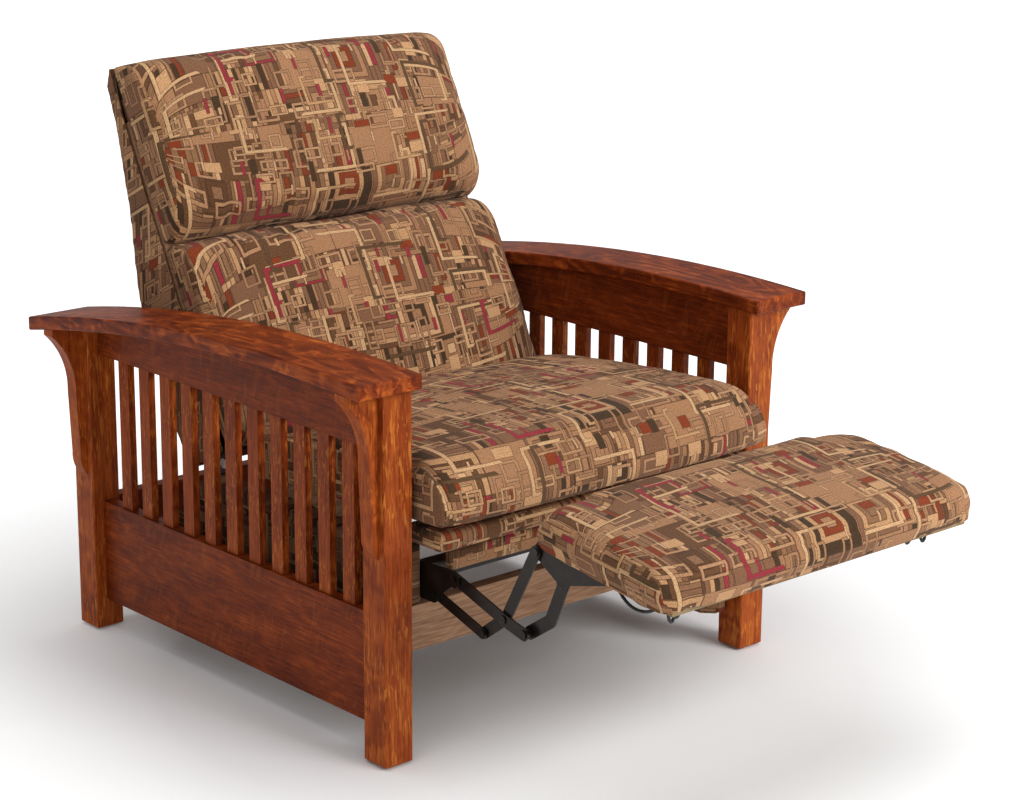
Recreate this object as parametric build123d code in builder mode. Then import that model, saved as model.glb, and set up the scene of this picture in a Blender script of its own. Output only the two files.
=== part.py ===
from build123d import *
import math
import os

# A mission reclining armchair, photographed with its footrest out and its back leaning.
# Millimetres, Z up. Every piece is first placed in the chair's own frame, where X runs across,
# Y = 0 is the front face of the front posts and the sitter faces -Y. The whole chair is then
# slid along Y, so that the origin ends at the middle of its footprint, on the floor.
# Right and left are the sitter's: right is -X.

os.makedirs("parts", exist_ok=True)

# Wooden frame
frame_width = 788
frame_depth = 805
post_size = 51
post_easing = 2
post_foot_easing = 3
glide_radius = 12
glide_height = 3
glide_pin_radius = 2.5
glide_pin_length = 14
overrun = 40
joint_clearance = 0.2

# Bowed arms
arm_crown_z = 592
arm_crown_y = 178
arm_radius = 3340
arm_thickness = 22
arm_outer_reach = 57
arm_inner_reach = 5
arm_front_reach = 17
arm_rear_reach = 32
arm_easing = 3
glue_line = 0.1
dowel_radius = 5
dowel_in_post = 30
dowel_in_arm = 14

# Side rails and slats
rail_recess = 20
rail_thickness = 22
rail_easing = 1.5
low_rail_bottom = 51
low_rail_top = 221
top_rail_bottom = 467
tenon_length = 18
tenon_thickness = 10
tenon_shoulder = 8
top_tenon_height = 30
slat_count = 11
slat_width = 27
slat_thickness = 12
slat_end_gap = 49.5
slat_housing = 10

# Corbels under the arms
corbel_thickness = 25
corbel_length = 249
corbel_setback = 1
corbel_lip = 10
corbel_bend_share = (0.47, 0.21)
corbel_throat_share = (0.29, 0.43)
corbel_tail_share = (0.21, 0.85)
corbel_tip_share = (0.14, 0.95)

# Seat box that carries the springs and the mechanism
unit_side_gap = 3
board_thickness = 38
board_front_y = 30
board_rear_gap = 114
board_bottom_z = 62
board_top_z = 312
board_shoulder_lead = 10
board_low_shoulder_length = 30
board_low_shoulder_z = 215
board_easing = 6
board_toe_setback = 22
board_toe_top_z = 232
board_toe_depth = 20
cleat_front_y = 60
cleat_rear_gap = 40
cleat_bottom_z = 90
cleat_top_z = 180
unit_bolt_radius = 4
unit_bolt_head_radius = 8
unit_bolt_head_height = 3
unit_bolt_bite = 14
unit_bolt_count = 3
unit_bolt_end_gap = 60
cross_rail_y = 76
cross_rail_thickness = 22
cross_rail_bottom = 135
cross_rail_top = 205
rear_rail_lead = 139
rear_rail_thickness = 22
rear_rail_bottom = 252
rear_stretcher_thickness = 22

# Padded front of the seat box
front_rail_side_gap = 25
front_rail_front_y = -36
front_rail_rear_y = 48
front_rail_bottom = 320
front_rail_top = 352
front_rail_round = 11
apron_side_gap = 26
apron_front_y = -8
apron_thickness = 20
apron_height = 42
apron_round = 5
soft_gap = 0.3

# Sinuous springs
spring_wire = 3.6
spring_run = 26
spring_pitch = 28
seat_spring_count = 4
seat_spring_side_gap = 22
deck_side_gap = 14
deck_thickness = 6
seat_slope = 3.0
back_spring_count = 3
back_spring_side_gap = 95

# Seat cushion; its corners run from the rear's foot round by the top, as on the back cushions
side_bulge = 3
station_shares = (-1, -0.93, -0.78, 0, 0.78, 0.93, 1)
tuck_power = 8
seat_side_gap = 8
seat_front_y = -70
seat_rear_lead = 80
seat_height = 100
seat_rear_height = 88
seat_front_lift = 5
seat_rear_undercut = 24
seat_front_lean = 8
seat_corner_radii = (10, 22, 52, 20)
seat_crown = 14
seat_front_crown = 7
seat_side_tuck = 14

# Back, drawn leaning as it is photographed; its profile is measured from the hinge pin
pivot_to_rear_post = 249
pivot_z = 330
back_lean = 27
pin_to_front = 96
back_side_gap = 23
back_top = 652
back_bottom = 12
pillow_split = 355
pillow_crease = 8
pillow_thickness = 74
pillow_tuck = 16
pillow_crown = 9
pillow_overhang = 6
lumbar_radii = (8, 8, 42, 34)
headrest_radii = (8, 8, 40, 44)
cover_depth = 195
cover_wall = 8
cover_shares = ((0.0, 0.93), (0.18, 1.0), (0.45, 0.945), (0.69, 0.675), (0.86, 0.54), (0.965, 0.50))
frame_bar = 15
stile_width = 44
stile_top = 600
frame_rail_width = 60
middle_rail_base = 300
middle_rail_drop = 8
side_panel_thickness = 8
side_panel_base = 64
side_panel_top = 560

# Back hinges
hinge_plate = 4
hinge_gap = 1
hinge_eye = 14
hinge_pin_radius = 5
hinge_head_radius = 8
hinge_head_height = 3
hinge_fit = 0.3
hinge_reach = 58
hinge_foot = 36
hinge_foot_drop = 60
frame_lift = 8

# Footrest linkage, its pivots as (y, z) with the footrest out
plate_thickness = 3
layer_gap = 1
follower_base_pivot = (5.3, 248.8)
main_base_pivot = (-39.5, 282.5)
follower_cross_pivot = (-97.9, 216.7)
main_cross_pivot = (-142.4, 249.9)
main_outer_pivot = (-184.7, 239.8)
cross_bracket_pivot = (-203.3, 364.5)
outer_bracket_pivot = (-252.6, 330.9)
outer_link_bend = (-226.0, 268.0)
main_link_half_width = 9.5
follower_link_half_width = 8
cross_link_half_width = 9
outer_link_half_width = 10
bracket_eye = 10
rivet_radius = 4
rivet_head_radius = 6.5
rivet_head_height = 2
rivet_fit = 0.3
follower_pivot_slack = 0.6
bracket_pivot_slack = 2.9
bracket_head_radius = 8.6
plate_edge = 13
plate_back_y = 125
plate_low_y = 62
plate_top_z = 292
plate_bottom_z = 236
brace_front_y = 20
brace_size = 25
brace_bottom_z = 264

# Footrest, drawn in its own plane: forward along the pad, and up from its underside
pad_rear_y = -203.7
pad_rear_z = 379.3
pad_slope = 7.0
pad_length = 286
pad_side_gap = 21
pad_thickness = 62
pad_crown = 8
pad_lip = 1
pad_edge_drop = 6
pad_end_tuck = 20
pad_radii = (16, 20, 26, 22)
board_plate = 12
board_inset = 16
board_side_inset = 24
flange_width = 20
flange_length = 150
bracket_tip = 148
bracket_tip_depth = 7

# Cloth flap and elastic under the footrest
flap_side_gap = 68
flap_rear = 118
flap_front = 222
flap_sag = 22
flap_thickness = 2
elastic_radius = 2.5
elastic_gap = 6
elastic_sag = 20
loop_rise = 12
loop_spread = 17
loop_spacing = 40


# Derived places
half_width = frame_width / 2
post_inner_x = half_width - post_size
post_rear_y = frame_depth - post_size
arm_width = arm_outer_reach + post_size + arm_inner_reach
rail_outer_x = half_width - rail_recess
rail_inner_x = rail_outer_x - rail_thickness
slat_mid_x = rail_outer_x - rail_thickness / 2
slat_pitch = (post_rear_y - post_size - 2 * slat_end_gap - slat_width) / (slat_count - 1)
board_outer_x = post_inner_x - unit_side_gap
board_inner_x = board_outer_x - board_thickness
pivot_y = post_rear_y - pivot_to_rear_post
board_rear_y = post_rear_y - board_rear_gap
board_shoulder_y = pivot_y + board_shoulder_lead
board_low_shoulder_y = board_rear_y - board_low_shoulder_length
cleat_rear_y = board_rear_y - cleat_rear_gap
unit_bolt_pitch = (cleat_rear_y - cleat_front_y - 2 * unit_bolt_end_gap) / (unit_bolt_count - 1)
rear_rail_y = pivot_y - rear_rail_lead
front_rail_half_width = post_inner_x - front_rail_side_gap
apron_half_width = board_inner_x - apron_side_gap
deck_half_width = board_inner_x - deck_side_gap
seat_spring_spacing = 2 * (board_inner_x - seat_spring_side_gap) / seat_spring_count
seat_half_width = post_inner_x - seat_side_gap
seat_rear_y = pivot_y - seat_rear_lead
back_half_width = post_inner_x - back_side_gap
back_spring_spacing = 2 * (back_half_width - back_spring_side_gap) / back_spring_count
pad_half_width = post_inner_x - pad_side_gap
flap_half_width = pad_half_width - flap_side_gap
layer = plate_thickness + layer_gap
lean = math.radians(back_lean)
slope = math.radians(seat_slope)
pad_angle = math.radians(pad_slope)
pieces = {}


def arm_line(y, radius):
    """Height of the bow at y, on the arc of that radius about the arm's centre."""
    return arm_crown_z - arm_radius + math.sqrt(radius ** 2 - (y - arm_crown_y) ** 2)


def keep(name, part):
    """Files a finished piece under its name."""
    part.label = name
    pieces[name] = part


def side_name(base, side):
    return f"{base}_{'right' if side < 0 else 'left'}"


def slab_plane(side, inner_x):
    """A plane across X at inner_x on one side, facing away from the chair's middle."""
    return Plane(origin=(side * inner_x, 0, 0), x_dir=(0, side, 0), z_dir=(side, 0, 0))


def slab(side, inner_x, thickness, outline):
    """Extrudes an outline of (y, z) points from inner_x outwards, on one side."""
    with BuildPart() as made:
        with BuildSketch(slab_plane(side, inner_x)):
            with BuildLine():
                Polyline(*[(side * y, z) for y, z in outline], close=True)
            make_face()
        extrude(amount=thickness)
    return made


def box_between(low, high):
    """A box from one corner to the other."""
    size = [b - a for a, b in zip(low, high)]
    centre = tuple((a + b) / 2 for a, b in zip(low, high))
    with BuildPart() as made:
        with Locations(centre):
            Box(*size)
    return made


def under_arm_region():
    """Everything below the underside of both arms, the shape that trims posts, rails and corbels."""
    radius = arm_radius - arm_thickness - glue_line
    front, rear = -arm_front_reach, frame_depth + arm_rear_reach
    middle = (front + rear) / 2
    with BuildPart() as region:
        with BuildSketch(Plane.YZ.offset(-half_width - arm_outer_reach)):
            with BuildLine():
                ThreePointArc(
                    (front, arm_line(front, radius)),
                    (middle, arm_line(middle, radius)),
                    (rear, arm_line(rear, radius)),
                )
                Line((rear, arm_line(rear, radius)), (rear, -overrun))
                Line((rear, -overrun), (front, -overrun))
                Line((front, -overrun), (front, arm_line(front, radius)))
            make_face()
        extrude(amount=frame_width + 2 * arm_outer_reach)
    return region


def make_arm(side, dowel_places):
    """One bowed arm: a strip between two concentric arcs, eased all round."""
    front, rear = -arm_front_reach, frame_depth + arm_rear_reach
    middle = (front + rear) / 2
    low = arm_radius - arm_thickness
    inner_x = post_inner_x - arm_inner_reach
    with BuildPart() as arm:
        with BuildSketch(slab_plane(side, inner_x)):
            with BuildLine():
                ThreePointArc(
                    (side * front, arm_line(front, arm_radius)),
                    (side * middle, arm_line(middle, arm_radius)),
                    (side * rear, arm_line(rear, arm_radius)),
                )
                Line((side * rear, arm_line(rear, arm_radius)), (side * rear, arm_line(rear, low)))
                ThreePointArc(
                    (side * rear, arm_line(rear, low)),
                    (side * middle, arm_line(middle, low)),
                    (side * front, arm_line(front, low)),
                )
                Line((side * front, arm_line(front, low)), (side * front, arm_line(front, arm_radius)))
            make_face()
        extrude(amount=arm_width)
        fillet(arm.edges(), arm_easing)
        for y in dowel_places:
            foot = arm_line(y, low) - overrun
            with Locations((side * (half_width - post_size / 2), y, foot)):
                Cylinder(
                    dowel_radius + joint_clearance,
                    overrun + dowel_in_arm,
                    align=(Align.CENTER, Align.CENTER, Align.MIN),
                    mode=Mode.SUBTRACT,
                )
    return arm


def make_dowels(dowel_places):
    """The four dowels that hold the arms on the posts."""
    with BuildPart() as dowels:
        for side in (-1, 1):
            for y in dowel_places:
                under = arm_line(y, arm_radius - arm_thickness)
                with Locations((side * (half_width - post_size / 2), y, under - dowel_in_post)):
                    Cylinder(
                        dowel_radius,
                        dowel_in_post + dowel_in_arm - joint_clearance,
                        align=(Align.CENTER, Align.CENTER, Align.MIN),
                    )
    return dowels


def tenon_bands():
    """Bottom and top of the tenon of each side rail."""
    top = top_rail_bottom + tenon_shoulder
    return (
        (low_rail_bottom + tenon_shoulder, low_rail_top - tenon_shoulder),
        (top, top + top_tenon_height),
    )


def make_glides():
    """Nail-on glides under the four posts."""
    with BuildPart() as glides:
        for side in (-1, 1):
            for y in (post_size / 2, frame_depth - post_size / 2):
                with Locations((side * (half_width - post_size / 2), y, 0)):
                    Cylinder(glide_radius, glide_height, align=(Align.CENTER, Align.CENTER, Align.MIN))
                    Cylinder(
                        glide_pin_radius,
                        glide_height + glide_pin_length,
                        align=(Align.CENTER, Align.CENTER, Align.MIN),
                    )
    return glides


def make_post(side, y_low, region):
    """A square post, mortised for the side rails and cut to the arm's underside."""
    y_mid = y_low + post_size / 2
    x_mid = side * (half_width - post_size / 2)
    inward = 1 if y_low < frame_depth / 2 else -1
    mortise_y = y_mid + inward * (post_size / 2 - tenon_length / 2)
    with BuildPart() as post:
        with BuildSketch(Plane.XY.offset(glide_height)):
            with Locations((x_mid, y_mid)):
                Rectangle(post_size, post_size)
        extrude(amount=arm_crown_z)
        chamfer(post.faces().sort_by(Axis.Z)[0].edges(), post_foot_easing)
        chamfer(post.edges().filter_by(Axis.Z), post_easing)
        add(region.part, mode=Mode.INTERSECT)
        with Locations((x_mid, y_mid, glide_height)):
            Cylinder(
                glide_pin_radius + joint_clearance,
                2 * (glide_pin_length + joint_clearance),
                mode=Mode.SUBTRACT,
            )
        for low, high in tenon_bands():
            with Locations((side * slat_mid_x, mortise_y, (low + high) / 2)):
                Box(
                    tenon_thickness + 2 * joint_clearance,
                    tenon_length + 2 * joint_clearance,
                    high - low + 2 * joint_clearance,
                    mode=Mode.SUBTRACT,
                )
        with Locations((x_mid, y_mid, arm_line(y_mid, arm_radius - arm_thickness) - dowel_in_post)):
            Cylinder(
                dowel_radius + joint_clearance,
                overrun + dowel_in_post,
                align=(Align.CENTER, Align.CENTER, Align.MIN),
                mode=Mode.SUBTRACT,
            )
        if inward < 0:
            rear_mortise(side, y_mid)
    return post


def rear_mortise(side, y_mid):
    """The pocket in a rear post that takes the rear stretcher's tenon."""
    low, high = tenon_bands()[0]
    with Locations((side * post_inner_x, y_mid, (low + high) / 2)):
        Box(
            2 * (post_size - rail_recess - rail_thickness + joint_clearance),
            tenon_thickness + 2 * joint_clearance,
            high - low + 2 * joint_clearance,
            mode=Mode.SUBTRACT,
        )


def slat_places():
    """Middle of each slat along Y, spread evenly about the middle of the side."""
    first = frame_depth / 2 - (slat_count - 1) * slat_pitch / 2
    return [first + i * slat_pitch for i in range(slat_count)]


def make_rail(side, bottom, top, tenon, slat_edge, region):
    """A side rail with a tenon at each end and a housing for every slat."""
    with BuildPart() as rail:
        with Locations((side * slat_mid_x, frame_depth / 2, (bottom + top) / 2)):
            Box(rail_thickness, frame_depth - 2 * post_size - 2 * joint_clearance, top - bottom)
        chamfer(rail.edges().filter_by(Axis.Y).group_by(Axis.Z)[0], rail_easing)
        with Locations((side * slat_mid_x, frame_depth / 2, (tenon[0] + tenon[1]) / 2)):
            Box(tenon_thickness, frame_depth - 2 * post_size + 2 * tenon_length, tenon[1] - tenon[0])
        add(region.part, mode=Mode.INTERSECT)
        for y in slat_places():
            with Locations((side * slat_mid_x, y, slat_edge)):
                Box(
                    slat_thickness + 2 * joint_clearance,
                    slat_width + 2 * joint_clearance,
                    2 * slat_housing,
                    mode=Mode.SUBTRACT,
                )
    return rail


def make_slats(side):
    """The row of vertical slats between the two rails of one side."""
    low = low_rail_top - slat_housing + joint_clearance
    high = top_rail_bottom + slat_housing - joint_clearance
    with BuildPart() as slats:
        for y in slat_places():
            with Locations((side * slat_mid_x, y, (low + high) / 2)):
                Box(slat_thickness, slat_width, high - low)
    return slats


def make_corbel(side, y_mid, region):
    """A bracket under the arm: a nose at the top that sweeps down into a long thin tail."""
    top = arm_line(y_mid, arm_radius - arm_thickness)
    nose = arm_outer_reach - corbel_setback
    over = corbel_thickness
    place = Plane(origin=(side * (half_width + glue_line), y_mid, top), x_dir=(side, 0, 0), z_dir=(0, -side, 0))

    def spot(share):
        return (share[0] * nose, -share[1] * corbel_length)

    with BuildPart() as corbel:
        with BuildSketch(place):
            with BuildLine():
                Line((0, over), (nose, over))
                Line((nose, over), (nose, -corbel_lip))
                ThreePointArc((nose, -corbel_lip), spot(corbel_bend_share), spot(corbel_throat_share))
                Line(spot(corbel_throat_share), spot(corbel_tail_share))
                ThreePointArc(spot(corbel_tail_share), spot(corbel_tip_share), (0, -corbel_length))
                Line((0, -corbel_length), (0, over))
            make_face()
        extrude(amount=corbel_thickness / 2, both=True)
        add(region.part, mode=Mode.INTERSECT)
    return corbel


def make_rear_stretcher():
    """The finished rail between the rear posts."""
    y_mid = post_rear_y + post_size / 2
    low, high = tenon_bands()[0]
    reach = post_size - rail_recess - rail_thickness - joint_clearance
    with BuildPart() as stretcher:
        with Locations((0, y_mid, (low_rail_bottom + low_rail_top) / 2)):
            Box(2 * (post_inner_x - joint_clearance), rear_stretcher_thickness, low_rail_top - low_rail_bottom)
        chamfer(stretcher.edges().filter_by(Axis.X).group_by(Axis.Z)[0], rail_easing)
        with Locations((0, y_mid, (low + high) / 2)):
            Box(2 * (post_inner_x + reach), tenon_thickness, high - low)
    return stretcher


def bolt_places():
    """Places (y, z) of the bolts through the seat boards and cleats."""
    middle = (cleat_front_y + cleat_rear_y) / 2
    first = middle - (unit_bolt_count - 1) * unit_bolt_pitch / 2
    height = (cleat_bottom_z + cleat_top_z) / 2
    return [(first + i * unit_bolt_pitch, height) for i in range(unit_bolt_count)]


def drill_across(side, places, radius, inner_x, outer_x):
    """Cuts round holes along X through the part being built."""
    for y, z in places:
        with Locations(Location((side * (inner_x + outer_x) / 2, y, z), (0, 90, 0))):
            Cylinder(radius, outer_x - inner_x + 2 * overrun, mode=Mode.SUBTRACT)


def make_toe_cut(side):
    """What is cut off the lower inner front corner of the seat board, below the linkage's plate."""
    outline = [
        (side * board_inner_x, board_front_y),
        (side * (board_inner_x + board_toe_depth), board_front_y),
        (side * board_inner_x, board_front_y + board_toe_setback),
    ]
    with BuildPart() as cut:
        with BuildSketch(Plane.XY.offset(board_bottom_z)):
            with BuildLine():
                Polyline(*outline, close=True)
            make_face()
        extrude(amount=board_toe_top_z - board_bottom_z)
    return cut


def make_side_board(side):
    """The cloth-covered board that carries the seat: raised under the front rail, cut down behind."""
    outline = [
        (board_front_y, board_bottom_z),
        (board_front_y, front_rail_bottom - glue_line),
        (front_rail_rear_y, front_rail_bottom - glue_line),
        (front_rail_rear_y, board_top_z),
        (board_shoulder_y, board_top_z),
        (board_low_shoulder_y, board_low_shoulder_z),
        (board_rear_y, board_low_shoulder_z),
        (board_rear_y, board_bottom_z),
    ]
    board = slab(side, board_inner_x, board_thickness, outline)
    with BuildPart() as made:
        add(board.part)
        fillet(made.faces().sort_by(Axis.Y)[0].edges(), board_easing)
        add(make_toe_cut(side).part, mode=Mode.SUBTRACT)
        drill_across(side, bolt_places(), unit_bolt_radius + joint_clearance, board_inner_x, board_outer_x)
    return made


def make_cleats():
    """The spacer strips between the seat boards and the side rails."""
    with BuildPart() as cleats:
        for side in (-1, 1):
            size_x = rail_inner_x - board_outer_x - 2 * joint_clearance
            with Locations(
                (
                    side * (rail_inner_x + board_outer_x) / 2,
                    (cleat_front_y + cleat_rear_y) / 2,
                    (cleat_bottom_z + cleat_top_z) / 2,
                )
            ):
                Box(size_x, cleat_rear_y - cleat_front_y, cleat_top_z - cleat_bottom_z)
            drill_across(side, bolt_places(), unit_bolt_radius + joint_clearance, board_outer_x, rail_inner_x)
    return cleats


def make_unit_bolts():
    """Bolts that fix the seat boards through the cleats into the side rails."""
    inner = board_inner_x - joint_clearance
    outer = rail_inner_x + unit_bolt_bite
    with BuildPart() as bolts:
        for side in (-1, 1):
            for y, z in bolt_places():
                with BuildSketch(Plane(origin=(side * inner, y, z), z_dir=(side, 0, 0))):
                    Circle(unit_bolt_radius)
                extrude(amount=outer - inner - joint_clearance)
                with BuildSketch(Plane(origin=(side * inner, y, z), z_dir=(-side, 0, 0))):
                    Circle(unit_bolt_head_radius)
                extrude(amount=unit_bolt_head_height)
    return bolts


def drilled_low_rail(side, region):
    """A low side rail, with pilot holes for the unit bolts on its inner face."""
    rail = make_rail(side, low_rail_bottom, low_rail_top, tenon_bands()[0], low_rail_top, region)
    with BuildPart() as made:
        add(rail.part)
        for y, z in bolt_places():
            with Locations(Location((side * rail_inner_x, y, z), (0, 90, 0))):
                Cylinder(unit_bolt_radius + joint_clearance, 2 * unit_bolt_bite, mode=Mode.SUBTRACT)
    return made


def make_padded_rail():
    """The padded rail that shows as a roll under the front of the seat cushion."""
    made = box_between(
        (-front_rail_half_width, front_rail_front_y, front_rail_bottom),
        (front_rail_half_width, front_rail_rear_y, front_rail_top),
    )
    with BuildPart() as rail:
        add(made.part)
        fillet(rail.faces().sort_by(Axis.Y)[0].edges(), front_rail_round)
    return rail


def make_apron():
    """The cloth-covered strip that hangs under the padded rail, between the linkages."""
    top = front_rail_bottom - soft_gap
    made = box_between(
        (-apron_half_width, apron_front_y, top - apron_height),
        (apron_half_width, apron_front_y + apron_thickness, top),
    )
    with BuildPart() as apron:
        add(made.part)
        fillet(apron.faces().sort_by(Axis.Y)[0].edges(), apron_round)
    return apron


def sinuous_spring(plane, count):
    """A zigzag spring in a plane: straight runs across, joined by half turns, as one wire."""
    turn = spring_pitch / 2
    with BuildPart() as spring:
        with BuildLine(plane) as path:
            for i in range(count):
                way = 1 if i % 2 == 0 else -1
                along = i * spring_pitch
                Line((along, -way * spring_run), (along, way * spring_run))
                if i < count - 1:
                    ThreePointArc(
                        (along, way * spring_run),
                        (along + turn, way * (spring_run + turn)),
                        (along + spring_pitch, way * spring_run),
                    )
        start = path.line @ 0
        with BuildSketch(Plane(origin=start, z_dir=path.line % 0)):
            Circle(spring_wire / 2)
        sweep(path=path.line)
    return spring


def deck_point(y, up):
    """A point above the sloping line of the seat deck's top."""
    drop = (y - front_rail_rear_y) * math.tan(slope)
    return (y, front_rail_top - drop + up)


def make_seat_springs():
    """Four zigzag springs from the padded rail to the rear rail."""
    front = front_rail_rear_y + spring_wire / 2 + soft_gap
    reach = rear_rail_y + rear_rail_thickness / 2 - front
    count = math.floor(reach / spring_pitch) + 1
    below = deck_thickness + spring_wire / 2 + 2 * soft_gap
    with BuildPart() as springs:
        for i in range(seat_spring_count):
            x = (i - (seat_spring_count - 1) / 2) * seat_spring_spacing
            y, z = deck_point(front, -below)
            plane = Plane(
                origin=(x, y, z),
                x_dir=(0, math.cos(slope), -math.sin(slope)),
                z_dir=(0, math.sin(slope), math.cos(slope)),
            )
            add(sinuous_spring(plane, count).part)
    return springs


def make_deck():
    """The deck cloth over the springs, which the seat cushion rests on."""
    front = front_rail_rear_y + soft_gap
    rear = rear_rail_y + rear_rail_thickness
    outline = [
        deck_point(front, -soft_gap),
        deck_point(rear, -soft_gap),
        deck_point(rear, -soft_gap - deck_thickness),
        deck_point(front, -soft_gap - deck_thickness),
    ]
    with BuildPart() as deck:
        with BuildSketch(Plane.YZ.offset(-deck_half_width)):
            with BuildLine():
                Polyline(*outline, close=True)
            make_face()
        extrude(amount=2 * deck_half_width)
    return deck


def make_rear_rail():
    """The rail behind the seat springs; they rest on its top."""
    under = deck_thickness + spring_wire + 4 * soft_gap
    top = deck_point(rear_rail_y + rear_rail_thickness, -under)[1]
    return box_between(
        (-board_inner_x + joint_clearance, rear_rail_y, rear_rail_bottom),
        (board_inner_x - joint_clearance, rear_rail_y + rear_rail_thickness, top),
    )


def make_cross_rail():
    """The plain unfinished rail that ties the two seat boards together low down."""
    return box_between(
        (-board_inner_x + joint_clearance, cross_rail_y, cross_rail_bottom),
        (board_inner_x - joint_clearance, cross_rail_y + cross_rail_thickness, cross_rail_top),
    )


def soft_profile(corners, radii, bulges):
    """Edges of a rounded outline: an arc at each corner and a bowed or straight side between."""
    count = len(corners)
    ins, outs = [], []
    for i, corner in enumerate(corners):
        here = Vector(*corner)
        before = (Vector(*corners[i - 1]) - here).normalized()
        after = (Vector(*corners[(i + 1) % count]) - here).normalized()
        ins.append(here + before * radii[i])
        outs.append(here + after * radii[i])
    for i, corner in enumerate(corners):
        chord = (ins[i] + outs[i]) / 2
        middle = Vector(*corner) + (chord - Vector(*corner)) * (2 - math.sqrt(2))
        ThreePointArc(ins[i], middle, outs[i])
        goal = ins[(i + 1) % count]
        if bulges[i] == 0:
            Line(outs[i], goal)
        else:
            run = (goal - outs[i]).normalized()
            away = Vector(run.Y, -run.X)
            ThreePointArc(outs[i], (outs[i] + goal) / 2 + away * bulges[i], goal)


def cushion(plane_at, half, outline_at):
    """Lofts a cushion across X through outlines at its stations, fuller towards the middle."""
    with BuildPart() as made:
        for share in station_shares:
            corners, radii, bulges = outline_at(abs(share))
            with BuildSketch(plane_at(share * half)):
                with BuildLine():
                    soft_profile(corners, radii, bulges)
                make_face()
        loft()
    return made


def seat_plane(x):
    """Seat frame at x: back along the deck, and up from its top."""
    return Plane(
        origin=(x, front_rail_rear_y, front_rail_top + soft_gap),
        x_dir=(0, math.cos(slope), -math.sin(slope)),
        z_dir=(1, 0, 0),
    )


def seat_outline(share):
    """Seat cushion's outline at a share of its half width: fullest in the middle, drawn in at the ends."""
    tuck = seat_side_tuck * share ** tuck_power
    crown = seat_crown * (1 - share ** 2)
    front = seat_front_y - front_rail_rear_y + tuck / 2 - seat_front_crown * (1 - share ** 2)
    rear = seat_rear_y - front_rail_rear_y - tuck / 2
    corners = [
        (rear - seat_rear_undercut, 0),
        (rear, seat_rear_height + crown / 2 - tuck),
        (front + seat_front_lean, seat_height + crown / 2 - tuck),
        (front, seat_front_lift),
    ]
    return corners, seat_corner_radii, (side_bulge, side_bulge + crown / 2, side_bulge, 0)


def back_plane(x):
    """Back frame at x, from the hinge pin: rearward, and up along the back."""
    return Plane(
        origin=(x, pivot_y, pivot_z),
        x_dir=(0, math.cos(lean), -math.sin(lean)),
        z_dir=(1, 0, 0),
    )


def pillow_outline(low, high, radii, overhang):
    """Outline maker for a back cushion between two heights, front at the crown line."""

    def outline(share):
        tuck = pillow_tuck * share ** tuck_power
        crown = pillow_crown * (1 - share ** 2)
        front = -pin_to_front - overhang + pillow_crown - crown + tuck
        rear = -pin_to_front + pillow_thickness
        corners = [(rear, low), (rear, high), (front, high - tuck / 2), (front, low + tuck / 2)]
        return corners, radii, (0, side_bulge, side_bulge + crown / 2, side_bulge)

    return outline


def make_pillow(low, high, radii, overhang):
    """A back cushion, lofted across the back."""
    outline = pillow_outline(low, high, radii, overhang)
    return cushion(back_plane, back_half_width - soft_gap, outline)


def cover_line(inset):
    """Points (rearward, up) along the back cover's rear, brought in by the wall if asked."""
    span = back_top - back_bottom
    return [
        (depth * cover_depth - pin_to_front - inset, back_bottom + rise * span)
        for rise, depth in cover_shares
    ]


def cover_front():
    """How far behind the pin's plane the cover and frame begin."""
    return pillow_thickness - pin_to_front + 2 * soft_gap


def back_prism(half, outline):
    """A prism across the back, of an outline in the back's frame."""
    with BuildPart() as made:
        with BuildSketch(back_plane(-half)):
            with BuildLine():
                Polyline(*outline, close=True)
            make_face()
        extrude(amount=2 * half)
    return made


def make_back_cover():
    """The cloth-covered shell of the back: rear, sides and top, open to the front and below."""
    front = cover_front()
    outer = [(front, back_bottom)] + cover_line(0) + [(front, back_top)]
    inner_top = (front - overrun, back_top - cover_wall)
    inner_line = cover_line(cover_wall)
    inner = [(front - overrun, back_bottom - overrun)]
    inner += [(inner_line[0][0], back_bottom - overrun)] + inner_line
    inner += [(inner_line[-1][0] - cover_wall, back_top - cover_wall), inner_top]
    shell = back_prism(back_half_width, outer)
    hollow = back_prism(back_half_width - cover_wall, inner)
    with BuildPart() as cover:
        add(shell.part)
        add(hollow.part, mode=Mode.SUBTRACT)
    return cover


def back_bar(x_low, x_high, r_low, r_high, w_low, w_high):
    """A straight bar in the back's frame."""
    with BuildPart() as bar:
        with BuildSketch(back_plane(x_low)):
            with BuildLine():
                Polyline((r_low, w_low), (r_high, w_low), (r_high, w_high), (r_low, w_high), close=True)
            make_face()
        extrude(amount=x_high - x_low)
    return bar


def stile_outer_x():
    return board_inner_x + hinge_gap


def make_back_frame():
    """The back's wooden frame: two stiles and three rails."""
    front = cover_front() + soft_gap
    outer = stile_outer_x()
    inner = outer - stile_width
    base = back_bottom + frame_lift
    heights = (
        (base, front),
        (middle_rail_base, front + middle_rail_drop),
        (stile_top - frame_rail_width, front),
    )
    with BuildPart() as frame:
        for side in (-1, 1):
            ends = sorted((side * inner, side * outer))
            add(back_bar(*ends, front, front + frame_bar, base, stile_top).part)
        for height, face in heights:
            add(
                back_bar(
                    -inner + glue_line,
                    inner - glue_line,
                    face,
                    face + frame_bar,
                    height,
                    height + frame_rail_width,
                ).part
            )
    return frame


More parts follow.
